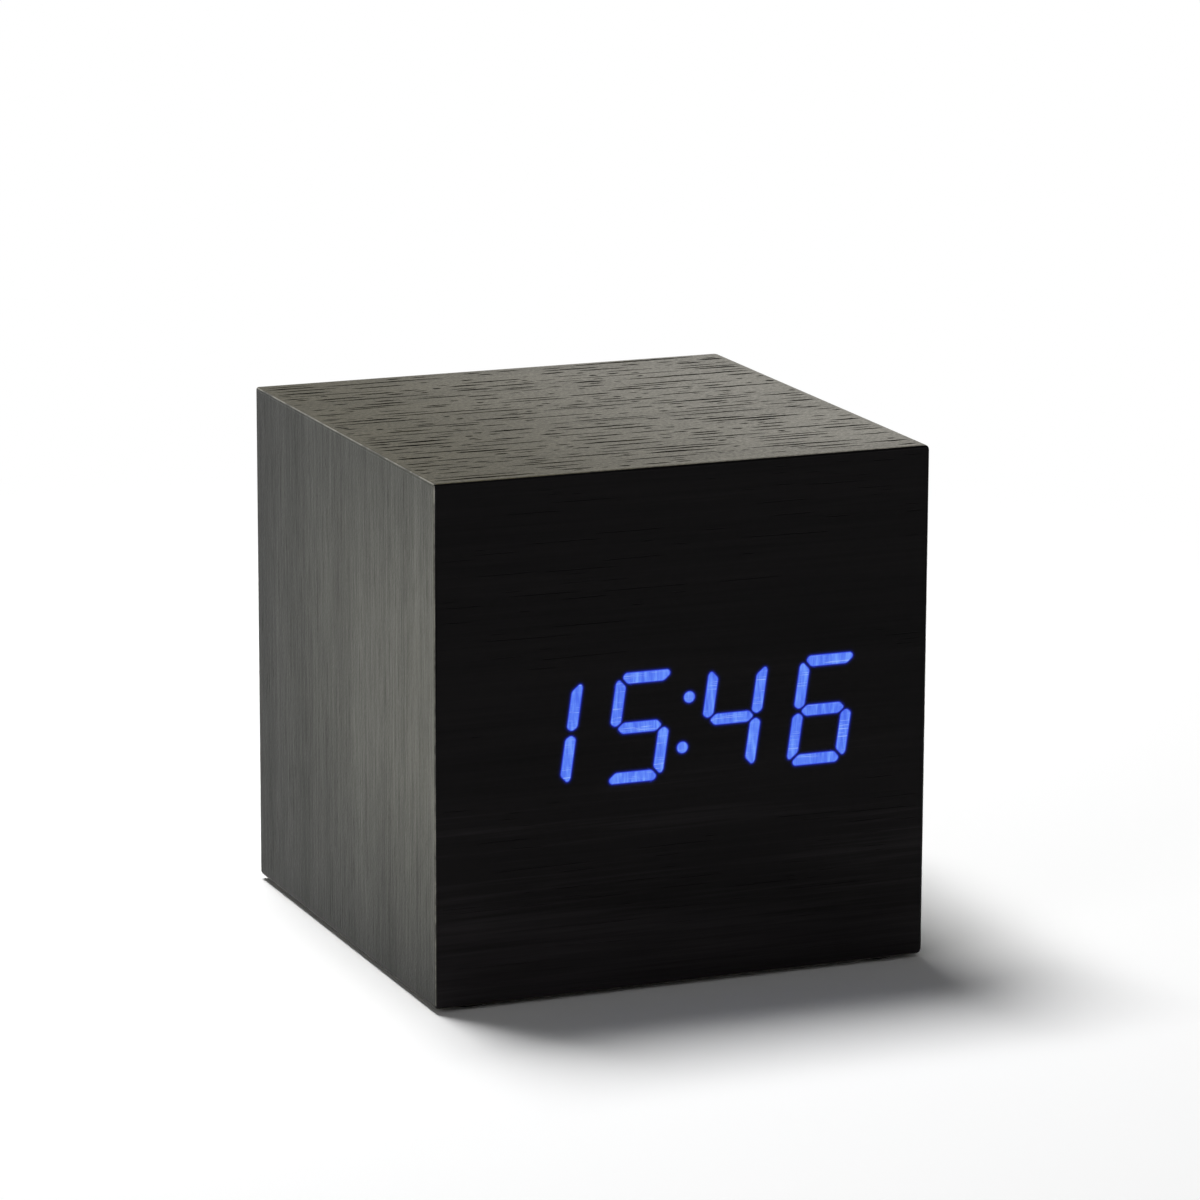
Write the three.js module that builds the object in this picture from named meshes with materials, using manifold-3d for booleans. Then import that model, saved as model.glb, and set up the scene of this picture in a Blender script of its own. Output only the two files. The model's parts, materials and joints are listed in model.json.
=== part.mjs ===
// A cube alarm clock in a wooden case, as an assembly of its separate pieces.
// Millimetres, +Z up. The origin lies on the surface that the clock stands on, under the
// middle of the cube. +X is right as seen from the front, and the front faces -Y.
import * as THREE from "three";
import { RoundedBoxGeometry } from "three/addons/geometries/RoundedBoxGeometry.js";
import * as BufferGeometryUtils from "three/addons/utils/BufferGeometryUtils.js";
import Module from "manifold-3d";

const wasm = await Module();
wasm.setup();

// Driving dimensions: the case. Its outer size follows from what lies across it inside.
const boardThickness = 5;
const frontBoardThickness = 8;
const veneerThickness = 0.5;
const sideRoom = 0.5;
const arrisRadius = 0.4;
const footRadius = 4;
const footThickness = 0.6;
const footInset = 5.5;
const footBevel = 0.15;

// Driving dimensions: the display
const digitHeight = 14.5;
const digitWidth = 8.3;
const digitSpacing = 4.4;
const digitSlant = Math.tan(THREE.MathUtils.degToRad(8));
const segmentWidth = 1.5;
const segmentGap = 0.3;
const segmentCornerCut = 0.4;
const colonDotRadius = 0.9;
const colonDotRise = 3.27;
const displayShift = 0.33;
const displayRise = 0.15;
const displayWall = 0.93;
const displayWallAbove = 2.25;
const lightPlateThickness = 0.4;
const lightPlateMargin = 0.3;
const lightWellDepth = 5;
const displaySideLand = 1.85;
const displayScrewLand = 4.5;
const displayScrewInset = 5;
const driverLength = 17.9;
const driverWidth = 7.5;
const driverHeight = 2.3;
const driverLeadsPerSide = 10;

// Driving dimensions: the rear panel and its buttons
const panelThickness = 1.6;
const panelRecess = 0.8;
const panelCornerRadius = 2;
const panelRise = 3;
const panelLedgeAcross = 5.8;
const panelLedgeUp = 2.3;
const panelBoardRoom = 0.7;
const panelScrewInset = 3.2;
const postLength = 7.6;
const postRadius = 1.5;
const postInset = 1.7;
const stakeRadius = 0.7;
const stakeReach = 0.6;
const buttonHeight = 5;
const buttonStandsOut = 0.5;
const buttonSpacing = 1.7;
const buttonFlange = 0.9;
const soundHoleRadius = 0.55;
const soundHoleRing = 2.4;
const soundHolesInRing = 6;
const microphoneHoleRadius = 0.7;

// Driving dimensions: the main board and what is on it
const circuitThickness = 1.6;
const rowPitch = 11;
const rowInset = 6.5;
const columnRoom = 2.45;
const switchSize = 6;
const switchHeight = 3.5;
const plungerRadius = 1.7;
const plungerDepth = 0.9;
const plungerRoom = 0.6;
const buzzerRadius = 4.5;
const buzzerHeight = 5.5;
const buzzerPortRadius = 1;
const buzzerPortDepth = 1;
const buzzerInset = 7;
const microphoneRadius = 2.25;
const microphoneHeight = 2.2;
const microphoneAcross = 0.75;
const socketSize = 7;
const socketNoseRadius = 3;
const socketBoreRadius = 1.8;
const socketBoreDepth = 8;
const socketPinRadius = 0.65;
const socketPinSetback = 1;
const socketInset = 6.5;
const controllerSize = 10;
const controllerHeight = 1.4;
const controllerLeadsPerSide = 8;
const controllerInsets = [8.5, 8.5];
const crystalLength = 10.2;
const crystalWidth = 3.8;
const crystalHeight = 3.3;
const crystalInsets = [10.5, 4.8];
const backupCellRadius = 6.25;
const backupCellThickness = 2;
const backupCellInsets = [8.3, 7.4];
const clipWidth = 4.5;
const clipThickness = 0.3;
const clipFoot = 1.2;
const sensorWidth = 4;
const sensorHeight = 4.2;
const sensorDepth = 2.4;
const sensorInsets = [2.9, 5.8];

// Driving dimensions: leads of the flat packages
const leadWidth = 0.4;
const leadThickness = 0.2;
const leadReach = 1;
const leadPitch = 1;
const driverLeadPitch = 1.6;

// Driving dimensions: the batteries, their case and its door
const cellRadius = 5.25;
const cellLength = 43.7;
const cellNubRadius = 1.9;
const cellNubLength = 0.8;
const cellCount = 3;
const cellSpacing = 0.4;
const batteryWall = 1.2;
const batteryFlange = 2.2;
const cradleRidgeWidth = 1.6;
const cradleRidgeHeight = 2.2;
const doorThickness = 1.5;
const doorTabWidth = 5;
const doorTabLength = 1.1;
const doorTabThickness = 0.8;
const doorTabRise = 0.5;
const doorTabAcross = 10;
const tabSlotLip = 0.4;
const tabSlotTop = 2.2;
const doorTongueWidth = 9;
const doorTongueLength = 6;
const doorTongueSlit = 0.8;
const doorGripDepth = 0.6;
const doorGripLength = 1.6;
const doorGripInset = 1.6;
const contactThickness = 0.4;
const contactSize = 8.4;
const contactTagWidth = 2.4;
const contactTagReach = 3;
const springLength = 3.6;
const springWireRadius = 0.35;
const springBaseRadius = 3.4;
const springTipRadius = 1.9;
const springTurns = 2.5;
const springStepsPerTurn = 10;
const springWireSides = 6;

// Driving dimensions: screws, ribbon and wires
const screwShankRadius = 1;
const screwTipLength = 1;
const screwShankLength = 6;
const screwHeadRadius = 1.9;
const screwHeadHeight = 1.2;
const screwSlotWidth = 0.5;
const screwSlotDepth = 0.6;
const screwSlotReach = 1.2;
const ribbonWidth = 10;
const ribbonThickness = 0.8;
const ribbonAcross = 7.5;
const ribbonRise = 5;
const ribbonMainInset = 2.4;
const ribbonDisplayInset = 3.75;
const ribbonSteps = 36;
const wireRadius = 0.6;
const wireEndInset = 2;
const redWireEnd = -2.2;
const blackWireEnd = 0;
const wireSides = 8;
const wireSteps = 28;

// Clearances
const fitClearance = 0.3;
const slideClearance = 0.2;
const lightClearance = 0.05;
const screwClearance = 0.1;
const restGap = 0.3;
const cutOverrun = 1;

// Counts of facets
const roundSides = 32;
const holeSides = 16;
const arcSegments = 4;
const arrisSegments = 3;

// The display's block surrounds the four leaning digits, which stand the same distance apart,
// with the colon in the middle gap. Its board has land at the sides, and
// room for the screws above and below.
const digitPitch = digitWidth + digitSpacing;
const displayWidth = 3 * digitPitch + digitWidth + digitHeight * digitSlant + 2 * displayWall;
const displayHeight = digitHeight + 2 * displayWallAbove;
const displayBoardWidth = displayWidth + 2 * displaySideLand;
const displayBoardHeight = displayHeight + 2 * displayScrewLand;
const displayScrewAcross = displayBoardWidth / 2 - displayScrewInset;
const displayScrewRise = (displayHeight + displayScrewLand) / 2;

// The main board has room for the controller beside the backup cell in its clip. The three
// switches share its width, above a row with the socket and the buzzer.
const controllerSpan = controllerSize + 2 * leadReach;
const clipSpan = 2 * (backupCellRadius + restGap + clipThickness + clipFoot);
const mainBoardWidth = controllerSpan + clipSpan + 2 * columnRoom;
const buttonPitch = mainBoardWidth / 3;
const buttonWidth = buttonPitch - 2 * buttonFlange - buttonSpacing;
const mainBoardHeight = rowPitch + 2 * rowInset;
const buttonRise = rowPitch / 2;
const lowerRowDrop = rowPitch / 2;

// The battery bay, with its cells lying across the clock
const bayLength = 2 * contactThickness + springLength + restGap + cellLength + cellNubLength;
const cellPitch = 2 * cellRadius + cellSpacing;
const bayWidth = (cellCount - 1) * cellPitch + 2 * cellRadius + 2 * restGap;
const batteryOuterX = bayLength / 2 + batteryWall;
const batteryOuterY = bayWidth / 2 + batteryWall;

// The room inside holds the wider of the battery case and the display's board. The case
// comes out at 68 mm, and it is a cube.
const batteryCaseWidth = 2 * (batteryOuterX + batteryFlange);
const roomWidth = 2 * sideRoom + Math.max(batteryCaseWidth, displayBoardWidth + 2 * displayShift);
const caseWidth = roomWidth + 2 * (boardThickness + veneerThickness);
const caseDepth = caseWidth;
const caseHeight = caseWidth;

// Planes of the case, from the middle of the cube
const halfWidth = caseWidth / 2;
const halfDepth = caseDepth / 2;
const halfHeight = caseHeight / 2;
const boardOuterX = halfWidth - veneerThickness;
const boardOuterY = halfDepth - veneerThickness;
const boardOuterZ = halfHeight - veneerThickness;
const roomX = boardOuterX - boardThickness;
const roomZ = boardOuterZ - boardThickness;
const frontBoardBack = -boardOuterY + frontBoardThickness;
const backBoardFront = boardOuterY - boardThickness;

// A closed mesh as a solid that can be cut and joined.
function solid(geometry) {
  const bare = geometry.clone();
  bare.deleteAttribute("normal");
  bare.deleteAttribute("uv");
  const merged = BufferGeometryUtils.mergeVertices(bare);
  return new wasm.Manifold(new wasm.Mesh({
    numProp: 3,
    vertProperties: merged.attributes.position.array,
    triVerts: merged.index.array,
  }));
}

// The other way round: a solid's vertices and triangles as a geometry.
function geometryOf(body) {
  const mesh = body.getMesh();
  const geometry = new THREE.BufferGeometry();
  geometry.setAttribute("position", new THREE.BufferAttribute(mesh.vertProperties, 3));
  geometry.setIndex(new THREE.BufferAttribute(mesh.triVerts, 1));
  geometry.computeVertexNormals();
  return geometry;
}

// A block between two values along each axis.
function block(lowX, highX, lowY, highY, lowZ, highZ) {
  const geometry = new THREE.BoxGeometry(highX - lowX, highY - lowY, highZ - lowZ);
  geometry.translate((lowX + highX) / 2, (lowY + highY) / 2, (lowZ + highZ) / 2);
  return solid(geometry);
}

// A round rod from one point to another.
function rod(radius, start, end, sides = roundSides) {
  const from = new THREE.Vector3(...start);
  const along = new THREE.Vector3(...end).sub(from);
  const geometry = new THREE.CylinderGeometry(radius, radius, along.length(), sides);
  geometry.translate(0, along.length() / 2, 0);
  const up = new THREE.Vector3(0, 1, 0);
  geometry.applyQuaternion(new THREE.Quaternion().setFromUnitVectors(up, along.clone().normalize()));
  geometry.translate(from.x, from.y, from.z);
  return solid(geometry);
}

// An outline drawn as seen from the front (across and up), carried along Y from one plane to
// another, with its own zero at (x, z).
function frontPrism(outline, nearY, farY, x = 0, z = 0) {
  const geometry = new THREE.ExtrudeGeometry(outline, {
    depth: farY - nearY,
    bevelEnabled: false,
    curveSegments: arcSegments,
  });
  geometry.rotateX(Math.PI / 2);
  geometry.translate(x, farY, z);
  return solid(geometry);
}

function roundedRectangle(width, height, radius) {
  const x = width / 2 - radius;
  const y = height / 2 - radius;
  const quarter = Math.PI / 2;
  const shape = new THREE.Shape();
  shape.absarc(x, y, radius, 0, quarter);
  shape.absarc(-x, y, radius, quarter, 2 * quarter);
  shape.absarc(-x, -y, radius, 2 * quarter, 3 * quarter);
  shape.absarc(x, -y, radius, 3 * quarter, 4 * quarter);
  return shape;
}

function stadium(width, height) {
  const radius = height / 2;
  const x = width / 2 - radius;
  const quarter = Math.PI / 2;
  const shape = new THREE.Shape();
  shape.absarc(x, 0, radius, -quarter, quarter);
  shape.absarc(-x, 0, radius, quarter, 3 * quarter);
  return shape;
}

function joined(pieces) {
  return pieces.reduce((whole, piece) => whole.add(piece));
}

function withCuts(body, cuts) {
  return cuts.reduce((rest, cut) => rest.subtract(cut), body);
}

function finish(color, roughness, metalness = 0) {
  return new THREE.MeshStandardMaterial({ color, roughness, metalness });
}

const clock = new THREE.Group();
const cube = new THREE.Group();
cube.position.set(0, 0, footThickness + halfHeight);
clock.add(cube);

function place(parent, name, shape, material, x = 0, y = 0, z = 0) {
  const geometry = shape.isBufferGeometry ? shape : geometryOf(shape);
  const mesh = new THREE.Mesh(geometry, material);
  mesh.name = name;
  mesh.position.set(x, y, z);
  parent.add(mesh);
}

// Segments of a digit, seen from the front, before the slant.
// The letters go round the digit from the top, clockwise, and g is the middle bar.
function segmentPoints(letter) {
  const side = digitWidth / 2;
  const top = digitHeight / 2;
  const half = segmentWidth / 2;
  const cut = segmentCornerCut;
  const upright = [
    [side, half],
    [side, top - 3 * cut],
    [side - cut, top - 2 * cut],
    [side - segmentWidth, top - segmentWidth - segmentGap],
    [side - segmentWidth, half],
    [side - half, segmentGap * Math.SQRT1_2],
  ];
  const inner = side - segmentWidth - segmentGap / 2;
  const outer = side - 2 * cut - segmentGap;
  const level = [
    [inner, top - segmentWidth],
    [side - 2 * cut, top - 1.5 * cut],
    [outer, top],
    [-outer, top],
    [-(side - 2 * cut), top - 1.5 * cut],
    [-inner, top - segmentWidth],
  ];
  const tip = side - half - segmentGap;
  const middle = [
    [tip, 0],
    [tip - half, half],
    [half - tip, half],
    [-tip, 0],
    [half - tip, -half],
    [tip - half, -half],
  ];
  const points = { a: level, b: upright, c: upright, d: level, e: upright, f: upright, g: middle };
  const acrossSign = "ef".includes(letter) ? -1 : 1;
  const upSign = "cde".includes(letter) ? -1 : 1;
  return points[letter].map(([across, up]) => new THREE.Vector2(across * acrossSign, up * upSign));
}

// The same outline with each edge moved out by a distance.
function outset(points, distance) {
  const turn = Math.sign(THREE.ShapeUtils.area(points));
  const normals = points.map((point, i) => {
    const edge = points[(i + 1) % points.length].clone().sub(point).normalize();
    return new THREE.Vector2(edge.y * turn, -edge.x * turn);
  });
  return points.map((point, i) => {
    const before = normals[(i + points.length - 1) % points.length];
    const both = before.clone().add(normals[i]);
    return point.clone().addScaledVector(both, distance / (1 + before.dot(normals[i])));
  });
}

function slanted(points) {
  return new THREE.Shape(points.map((point) => new THREE.Vector2(point.x + point.y * digitSlant, point.y)));
}

function segmentPrism(letter, distance, nearY, farY, x, z) {
  return frontPrism(slanted(outset(segmentPoints(letter), distance)), nearY, farY, x, z);
}

// The digits from left to right, with the segments that are lit.
const digits = [
  { name: "hour_tens_light", lit: "bc" },
  { name: "hour_units_light", lit: "acdfg" },
  { name: "minute_tens_light", lit: "bcfg" },
  { name: "minute_units_light", lit: "acdefg" },
];
digits.forEach((digit, i) => {
  digit.across = (i - (digits.length - 1) / 2) * digitPitch;
});
const colonDots = [1, -1].map((side) => ({
  across: side * colonDotRise * digitSlant,
  up: side * colonDotRise,
}));

function dotRod(dot, radius, nearY, farY, x, z) {
  return rod(radius, [x + dot.across, nearY, z + dot.up], [x + dot.across, farY, z + dot.up], holeSides);
}

const fibreboard = finish(0xa98a63, 0.9);
const caseVeneer = finish(0x605d56, 0.55);
const frontVeneer = finish(0x141314, 0.45);
const rubber = finish(0x161616, 0.9);
const litSegment = finish(0x4e6ed6, 0.4);
litSegment.emissive = new THREE.Color(0x2a46c8);
const whitePlastic = finish(0xdedbd2, 0.6);
const blackPlastic = finish(0x1b1b1c, 0.6);
const chipPlastic = finish(0x232325, 0.5);
const circuitBoard = finish(0x1f5a34, 0.5);
const steel = finish(0xb9bbbe, 0.35, 1);
const nickel = finish(0xc8c4b8, 0.3, 1);
const cellWrap = finish(0x8c9096, 0.35, 0.4);
const redWire = finish(0xa01c1c, 0.6);
const blackWire = finish(0x1a1a1a, 0.6);
const ribbonGrey = finish(0x9a9a9a, 0.7);

// Case: six boards, the front one thick enough to hold the display. The top and bottom boards
// run through, the sides stand between them, and the front and back stand between the sides.
const windowHalfWidth = displayWidth / 2 + fitClearance;
const windowHalfHeight = displayHeight / 2 + fitClearance;
const displayScrews = [
  { name: "display_screw_upper", across: -displayScrewAcross, up: displayScrewRise },
  { name: "display_screw_lower", across: displayScrewAcross, up: -displayScrewRise },
];

const cellRise = doorThickness + restGap + cellRadius;
const bayRoof = cellRise + cellRadius + restGap;
const bayCut = [
  -batteryOuterX - fitClearance, batteryOuterX + fitClearance,
  -batteryOuterY - fitClearance, batteryOuterY + fitClearance,
  -halfHeight - cutOverrun, -roomZ + cutOverrun,
];

const panelWidth = mainBoardWidth + 2 * (panelBoardRoom + panelLedgeAcross);
const panelHeight = mainBoardHeight + 2 * (panelBoardRoom + panelLedgeUp);
const ledgePlane = halfDepth - panelRecess - panelThickness;
const panelPocket = frontPrism(
  roundedRectangle(panelWidth + 2 * fitClearance, panelHeight + 2 * fitClearance, panelCornerRadius),
  ledgePlane, halfDepth + cutOverrun, 0, panelRise);
const panelThroughX = panelWidth / 2 - panelLedgeAcross;
const panelThroughZ = panelHeight / 2 - panelLedgeUp;
const panelThrough = block(
  -panelThroughX, panelThroughX, backBoardFront - cutOverrun, halfDepth,
  panelRise - panelThroughZ, panelRise + panelThroughZ);
const panelScrewAcross = panelWidth / 2 - panelScrewInset;

function topAndBottomBoards() {
  const across = [-boardOuterX, boardOuterX, -boardOuterY, boardOuterY];
  place(cube, "top_board", block(...across, roomZ, boardOuterZ), fibreboard);
  const bottom = block(...across, -boardOuterZ, -roomZ);
  place(cube, "bottom_board", bottom.subtract(block(...bayCut)), fibreboard);
}

function sideBoards() {
  const upAndBack = [-boardOuterY, boardOuterY, -roomZ, roomZ];
  place(cube, "left_board", block(-boardOuterX, -roomX, ...upAndBack), fibreboard);
  place(cube, "right_board", block(roomX, boardOuterX, ...upAndBack), fibreboard);
}

function frontBoard() {
  const board = block(-roomX, roomX, -boardOuterY, frontBoardBack, -roomZ, roomZ);
  const window = block(
    displayShift - windowHalfWidth, displayShift + windowHalfWidth,
    -boardOuterY - cutOverrun, frontBoardBack + cutOverrun,
    displayRise - windowHalfHeight, displayRise + windowHalfHeight);
  const pilots = displayScrews.map(({ across, up }) => {
    const x = displayShift + across;
    const z = displayRise + up;
    const deep = frontBoardBack - screwShankLength;
    const radius = screwShankRadius + screwClearance;
    return rod(radius, [x, deep, z], [x, frontBoardBack + cutOverrun, z], holeSides);
  });
  place(cube, "front_board", withCuts(board, [window, ...pilots]), fibreboard);
}

function backBoard() {
  const board = block(-roomX, roomX, backBoardFront, boardOuterY, -roomZ, roomZ);
  const pilots = [-1, 1].map((side) => {
    const x = side * panelScrewAcross;
    const radius = screwShankRadius + screwClearance;
    const through = backBoardFront - cutOverrun;
    return rod(radius, [x, through, panelRise], [x, halfDepth, panelRise], holeSides);
  });
  place(cube, "back_board", withCuts(board, [panelPocket, panelThrough, ...pilots]), fibreboard);
}

// Veneers: thin sheets cut from one block that has the case's rounded edges, so that the
// rounding runs on from sheet to sheet.
function veneers() {
  const whole = solid(
    new RoundedBoxGeometry(caseWidth, caseDepth, caseHeight, arrisSegments, arrisRadius));
  const wideX = halfWidth + cutOverrun;
  const wideY = halfDepth + cutOverrun;
  const wideZ = halfHeight + cutOverrun;
  const top = block(-wideX, wideX, -wideY, wideY, boardOuterZ, wideZ);
  const bottom = block(-wideX, wideX, -wideY, wideY, -wideZ, -boardOuterZ);
  const front = block(-wideX, wideX, -wideY, -boardOuterY, -boardOuterZ, boardOuterZ);
  const back = block(-wideX, wideX, boardOuterY, wideY, -boardOuterZ, boardOuterZ);
  const left = block(-wideX, -boardOuterX, -boardOuterY, boardOuterY, -boardOuterZ, boardOuterZ);
  const right = block(boardOuterX, wideX, -boardOuterY, boardOuterY, -boardOuterZ, boardOuterZ);
  place(cube, "top_veneer", whole.intersect(top), caseVeneer);
  place(cube, "bottom_veneer", whole.intersect(bottom).subtract(block(...bayCut)), caseVeneer);
  place(cube, "left_veneer", whole.intersect(left), caseVeneer);
  place(cube, "right_veneer", whole.intersect(right), caseVeneer);
  place(cube, "back_veneer", whole.intersect(back).subtract(panelPocket), caseVeneer);
  place(cube, "front_veneer", withCuts(whole.intersect(front), lightWindows()), frontVeneer);
}

// Windows in the front veneer, where the lit segments show.
function lightWindows() {
  const near = -halfDepth - cutOverrun;
  const far = -boardOuterY + cutOverrun;
  const segments = digits.flatMap(({ lit, across }) => [...lit].map((letter) => (
    segmentPrism(letter, lightClearance, near, far, displayShift + across, displayRise)
  )));
  const dots = colonDots.map((dot) => (
    dotRod(dot, colonDotRadius + lightClearance, near, far, displayShift, displayRise)
  ));
  return [...segments, ...dots];
}

// Feet: low round pads under the corners.
function feet() {
  const profile = [
    [0, 0],
    [footRadius - footBevel, 0],
    [footRadius, footBevel],
    [footRadius, footThickness],
    [0, footThickness],
  ].map(([radius, height]) => new THREE.Vector2(radius, height));
  const pad = new THREE.LatheGeometry(profile, roundSides);
  pad.rotateX(Math.PI / 2);
  const names = { front_left: [-1, -1], front_right: [1, -1], back_left: [-1, 1], back_right: [1, 1] };
  for (const [name, [sideX, sideY]] of Object.entries(names)) {
    const x = sideX * (halfWidth - footInset);
    const y = sideY * (halfDepth - footInset);
    place(clock, `foot_${name}`, solid(pad), rubber, x, y, 0);
  }
}

topAndBottomBoards();
sideBoards();
frontBoard();
backBoard();
veneers();
feet();

// Display: its own group, with zero at the middle of its face, on the back of the veneer.
const display = new THREE.Group();
display.position.set(displayShift, -boardOuterY, displayRise);
cube.add(display);

// A light bar: a thin plate behind the veneer with its segments standing in the windows,
// flush with the clock's face.
function lightPlate(halfPlateWidth) {
  const up = digitHeight / 2 + lightPlateMargin;
  const corners = [[1, 1], [-1, 1], [-1, -1], [1, -1]];
  const outline = corners.map(([x, y]) => new THREE.Vector2(x * halfPlateWidth, y * up));
  return frontPrism(slanted(outline), 0, lightPlateThickness);
}

function lightBars() {
  const root = lightPlateThickness / 2;
  for (const { name, lit, across } of digits) {
    const segments = [...lit].map((letter) => segmentPrism(letter, 0, -veneerThickness, root, 0, 0));
    const plate = lightPlate(digitWidth / 2 + lightPlateMargin);
    place(display, name, joined([plate, ...segments]), litSegment, across);
  }
  const dots = colonDots.map((dot) => dotRod(dot, colonDotRadius, -veneerThickness, root, 0, 0));
  const plate = lightPlate(colonDotRadius + lightPlateMargin);
  place(display, "colon_light", joined([plate, ...dots]), litSegment);
}

// The reflector has a well for each of the 28 segments and the two dots, lit or not.
function reflector() {
  const near = lightPlateThickness;
  const far = near + lightWellDepth;
  const body = block(
    -displayWidth / 2, displayWidth / 2, near, frontBoardThickness,
    -displayHeight / 2, displayHeight / 2);
  const wells = digits.flatMap(({ across }) => [..."abcdefg"].map((letter) => (
    segmentPrism(letter, 0, near - cutOverrun, far, across, 0)
  )));
  const dots = colonDots.map((dot) => dotRod(dot, colonDotRadius, near - cutOverrun, far, 0, 0));
  place(display, "display_reflector", withCuts(body, [...wells, ...dots]), whitePlastic);
}

function displayBoard() {
  const near = frontBoardThickness;
  const far = near + circuitThickness;
  const body = block(
    -displayBoardWidth / 2, displayBoardWidth / 2, near, far,
    -displayBoardHeight / 2, displayBoardHeight / 2);
  const radius = screwShankRadius + screwClearance;
  const holes = displayScrews.map(({ across, up }) => (
    rod(radius, [across, near - cutOverrun, up], [across, far + cutOverrun, up], holeSides)
  ));
  place(display, "display_circuit_board", withCuts(body, holes), circuitBoard);
}

// A flat package lying on a board's inner side: leads on the sides given, feet at y = 0 and
// the body towards +Y.
function flatPackage(width, height, thickness, leads, pitch, sides) {
  const body = block(-width / 2, width / 2, leadThickness, thickness, -height / 2, height / 2);
  const pieces = [body];
  for (const side of sides) {
    for (let i = 0; i < leads; i += 1) {
      const along = (i - (leads - 1) / 2) * pitch;
      const spread = [along - leadWidth / 2, along + leadWidth / 2];
      const edge = (side === "x" ? width : height) / 2;
      for (const sign of [-1, 1]) {
        const reach = [sign * (edge - leadReach), sign * (edge + leadReach)].sort((a, b) => a - b);
        const foot = [0, 2 * leadThickness];
        const lead = side === "x" ? [reach, foot, spread] : [spread, foot, reach];
        pieces.push(block(...lead.flat()));
      }
    }
  }
  return joined(pieces);
}

// A screw with a cross slot, with its seat at y = 0, its head towards +Y and its point to -Y.
function screw(isCountersunk) {
  const seat = isCountersunk ? -screwHeadHeight : 0;
  const top = seat + screwHeadHeight;
  const seatRadius = isCountersunk ? screwShankRadius : screwHeadRadius;
  const tip = -screwShankLength;
  const profile = [
    [0, tip],
    [screwShankRadius, tip + screwTipLength],
    [screwShankRadius, seat],
    ...(isCountersunk ? [] : [[seatRadius, seat]]),
    [screwHeadRadius, isCountersunk ? top - screwClearance : seat + screwHeadHeight / 2],
    [screwHeadRadius - screwClearance, top],
    [0, top],
  ].map(([radius, height]) => new THREE.Vector2(radius, height));
  const body = solid(new THREE.LatheGeometry(profile, roundSides / 2));
  const deep = top - screwSlotDepth;
  const half = screwSlotWidth / 2;
  const slots = [
    block(-screwSlotReach, screwSlotReach, deep, top + cutOverrun, -half, half),
    block(-half, half, deep, top + cutOverrun, -screwSlotReach, screwSlotReach),
  ];
  return withCuts(body, slots);
}

lightBars();
reflector();
displayBoard();
for (const { name, across, up } of displayScrews) {
  place(display, name, screw(false), steel, across, frontBoardThickness + circuitThickness, up);
}
place(
  display, "display_driver",
  flatPackage(driverLength, driverWidth, driverHeight, driverLeadsPerSide, driverLeadPitch, ["z"]),
  chipPlastic, 0, frontBoardThickness + circuitThickness, 0);

// Rear: its own group, with zero on the back of the cube at the middle of the panel. The
// inside of the clock lies towards -Y.
const rear = new THREE.Group();
rear.position.set(0, halfDepth, panelRise);
cube.add(rear);

const panelFace = -panelRecess;
const panelInside = panelFace - panelThickness;
const mainBoardFace = panelInside - postLength;
const mainBoardInside = mainBoardFace - circuitThickness;
const postX = mainBoardWidth / 2 - postInset;
const postZ = mainBoardHeight / 2 - postInset;
const buzzerAcross = buzzerInset - mainBoardWidth / 2;
const socketAcross = mainBoardWidth / 2 - socketInset;
const posts = [[-postX, -postZ], [postX, -postZ], [-postX, postZ], [postX, postZ]];
const buttons = [
  { name: "set", across: -buttonPitch },
  { name: "up", across: 0 },
  { name: "down", across: buttonPitch },
];
const flangeFront = panelInside - slideClearance;
const flangeBack = flangeFront - buttonFlange;

// The panel with its posts, whose thin ends are staked through the main board.
function rearPanel() {
  const plate = frontPrism(
    roundedRectangle(panelWidth, panelHeight, panelCornerRadius), panelInside, panelFace);
  const postRods = posts.map(([x, z]) => (
    rod(postRadius, [x, mainBoardFace, z], [x, panelInside, z], holeSides)
  ));
  const stakes = posts.map(([x, z]) => (
    rod(stakeRadius, [x, mainBoardInside - stakeReach, z], [x, panelInside, z], holeSides)
  ));
  const through = [panelInside - cutOverrun, panelFace + cutOverrun];
  const openings = buttons.map(({ across }) => frontPrism(
    stadium(buttonWidth + 2 * slideClearance, buttonHeight + 2 * slideClearance),
    ...through, across, buttonRise));
  const hole = (radius, x, z) => rod(radius, [x, through[0], z], [x, through[1], z], holeSides);
  const ring = Array.from({ length: soundHolesInRing }, (_, i) => {
    const angle = (2 * Math.PI * i) / soundHolesInRing;
    const x = buzzerAcross + soundHoleRing * Math.cos(angle);
    return hole(soundHoleRadius, x, -lowerRowDrop + soundHoleRing * Math.sin(angle));
  });
  const otherHoles = [
    hole(soundHoleRadius, buzzerAcross, -lowerRowDrop),
    hole(microphoneHoleRadius, microphoneAcross, -lowerRowDrop),
    hole(socketNoseRadius + slideClearance, socketAcross, -lowerRowDrop),
  ];
  const screwSeats = [-1, 1].map((side) => countersink(side * panelScrewAcross));
  const body = joined([plate, ...postRods, ...stakes]);
  const cuts = [...openings, ...ring, ...otherHoles, ...screwSeats];
  place(rear, "rear_panel", withCuts(body, cuts), blackPlastic);
}

// The hole that a countersunk screw sits in, in the rear panel.
function countersink(x) {
  const wide = screwHeadRadius + screwClearance;
  const narrow = screwShankRadius + screwClearance;
  const profile = [
    [0, panelInside - cutOverrun],
    [narrow, panelInside - cutOverrun],
    [narrow, panelFace - screwHeadHeight],
    [wide, panelFace - screwClearance],
    [wide, panelFace + cutOverrun],
    [0, panelFace + cutOverrun],
  ].map(([radius, height]) => new THREE.Vector2(radius, height));
  const geometry = new THREE.LatheGeometry(profile, roundSides / 2);
  geometry.translate(x, 0, 0);
  return solid(geometry);
}

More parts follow.
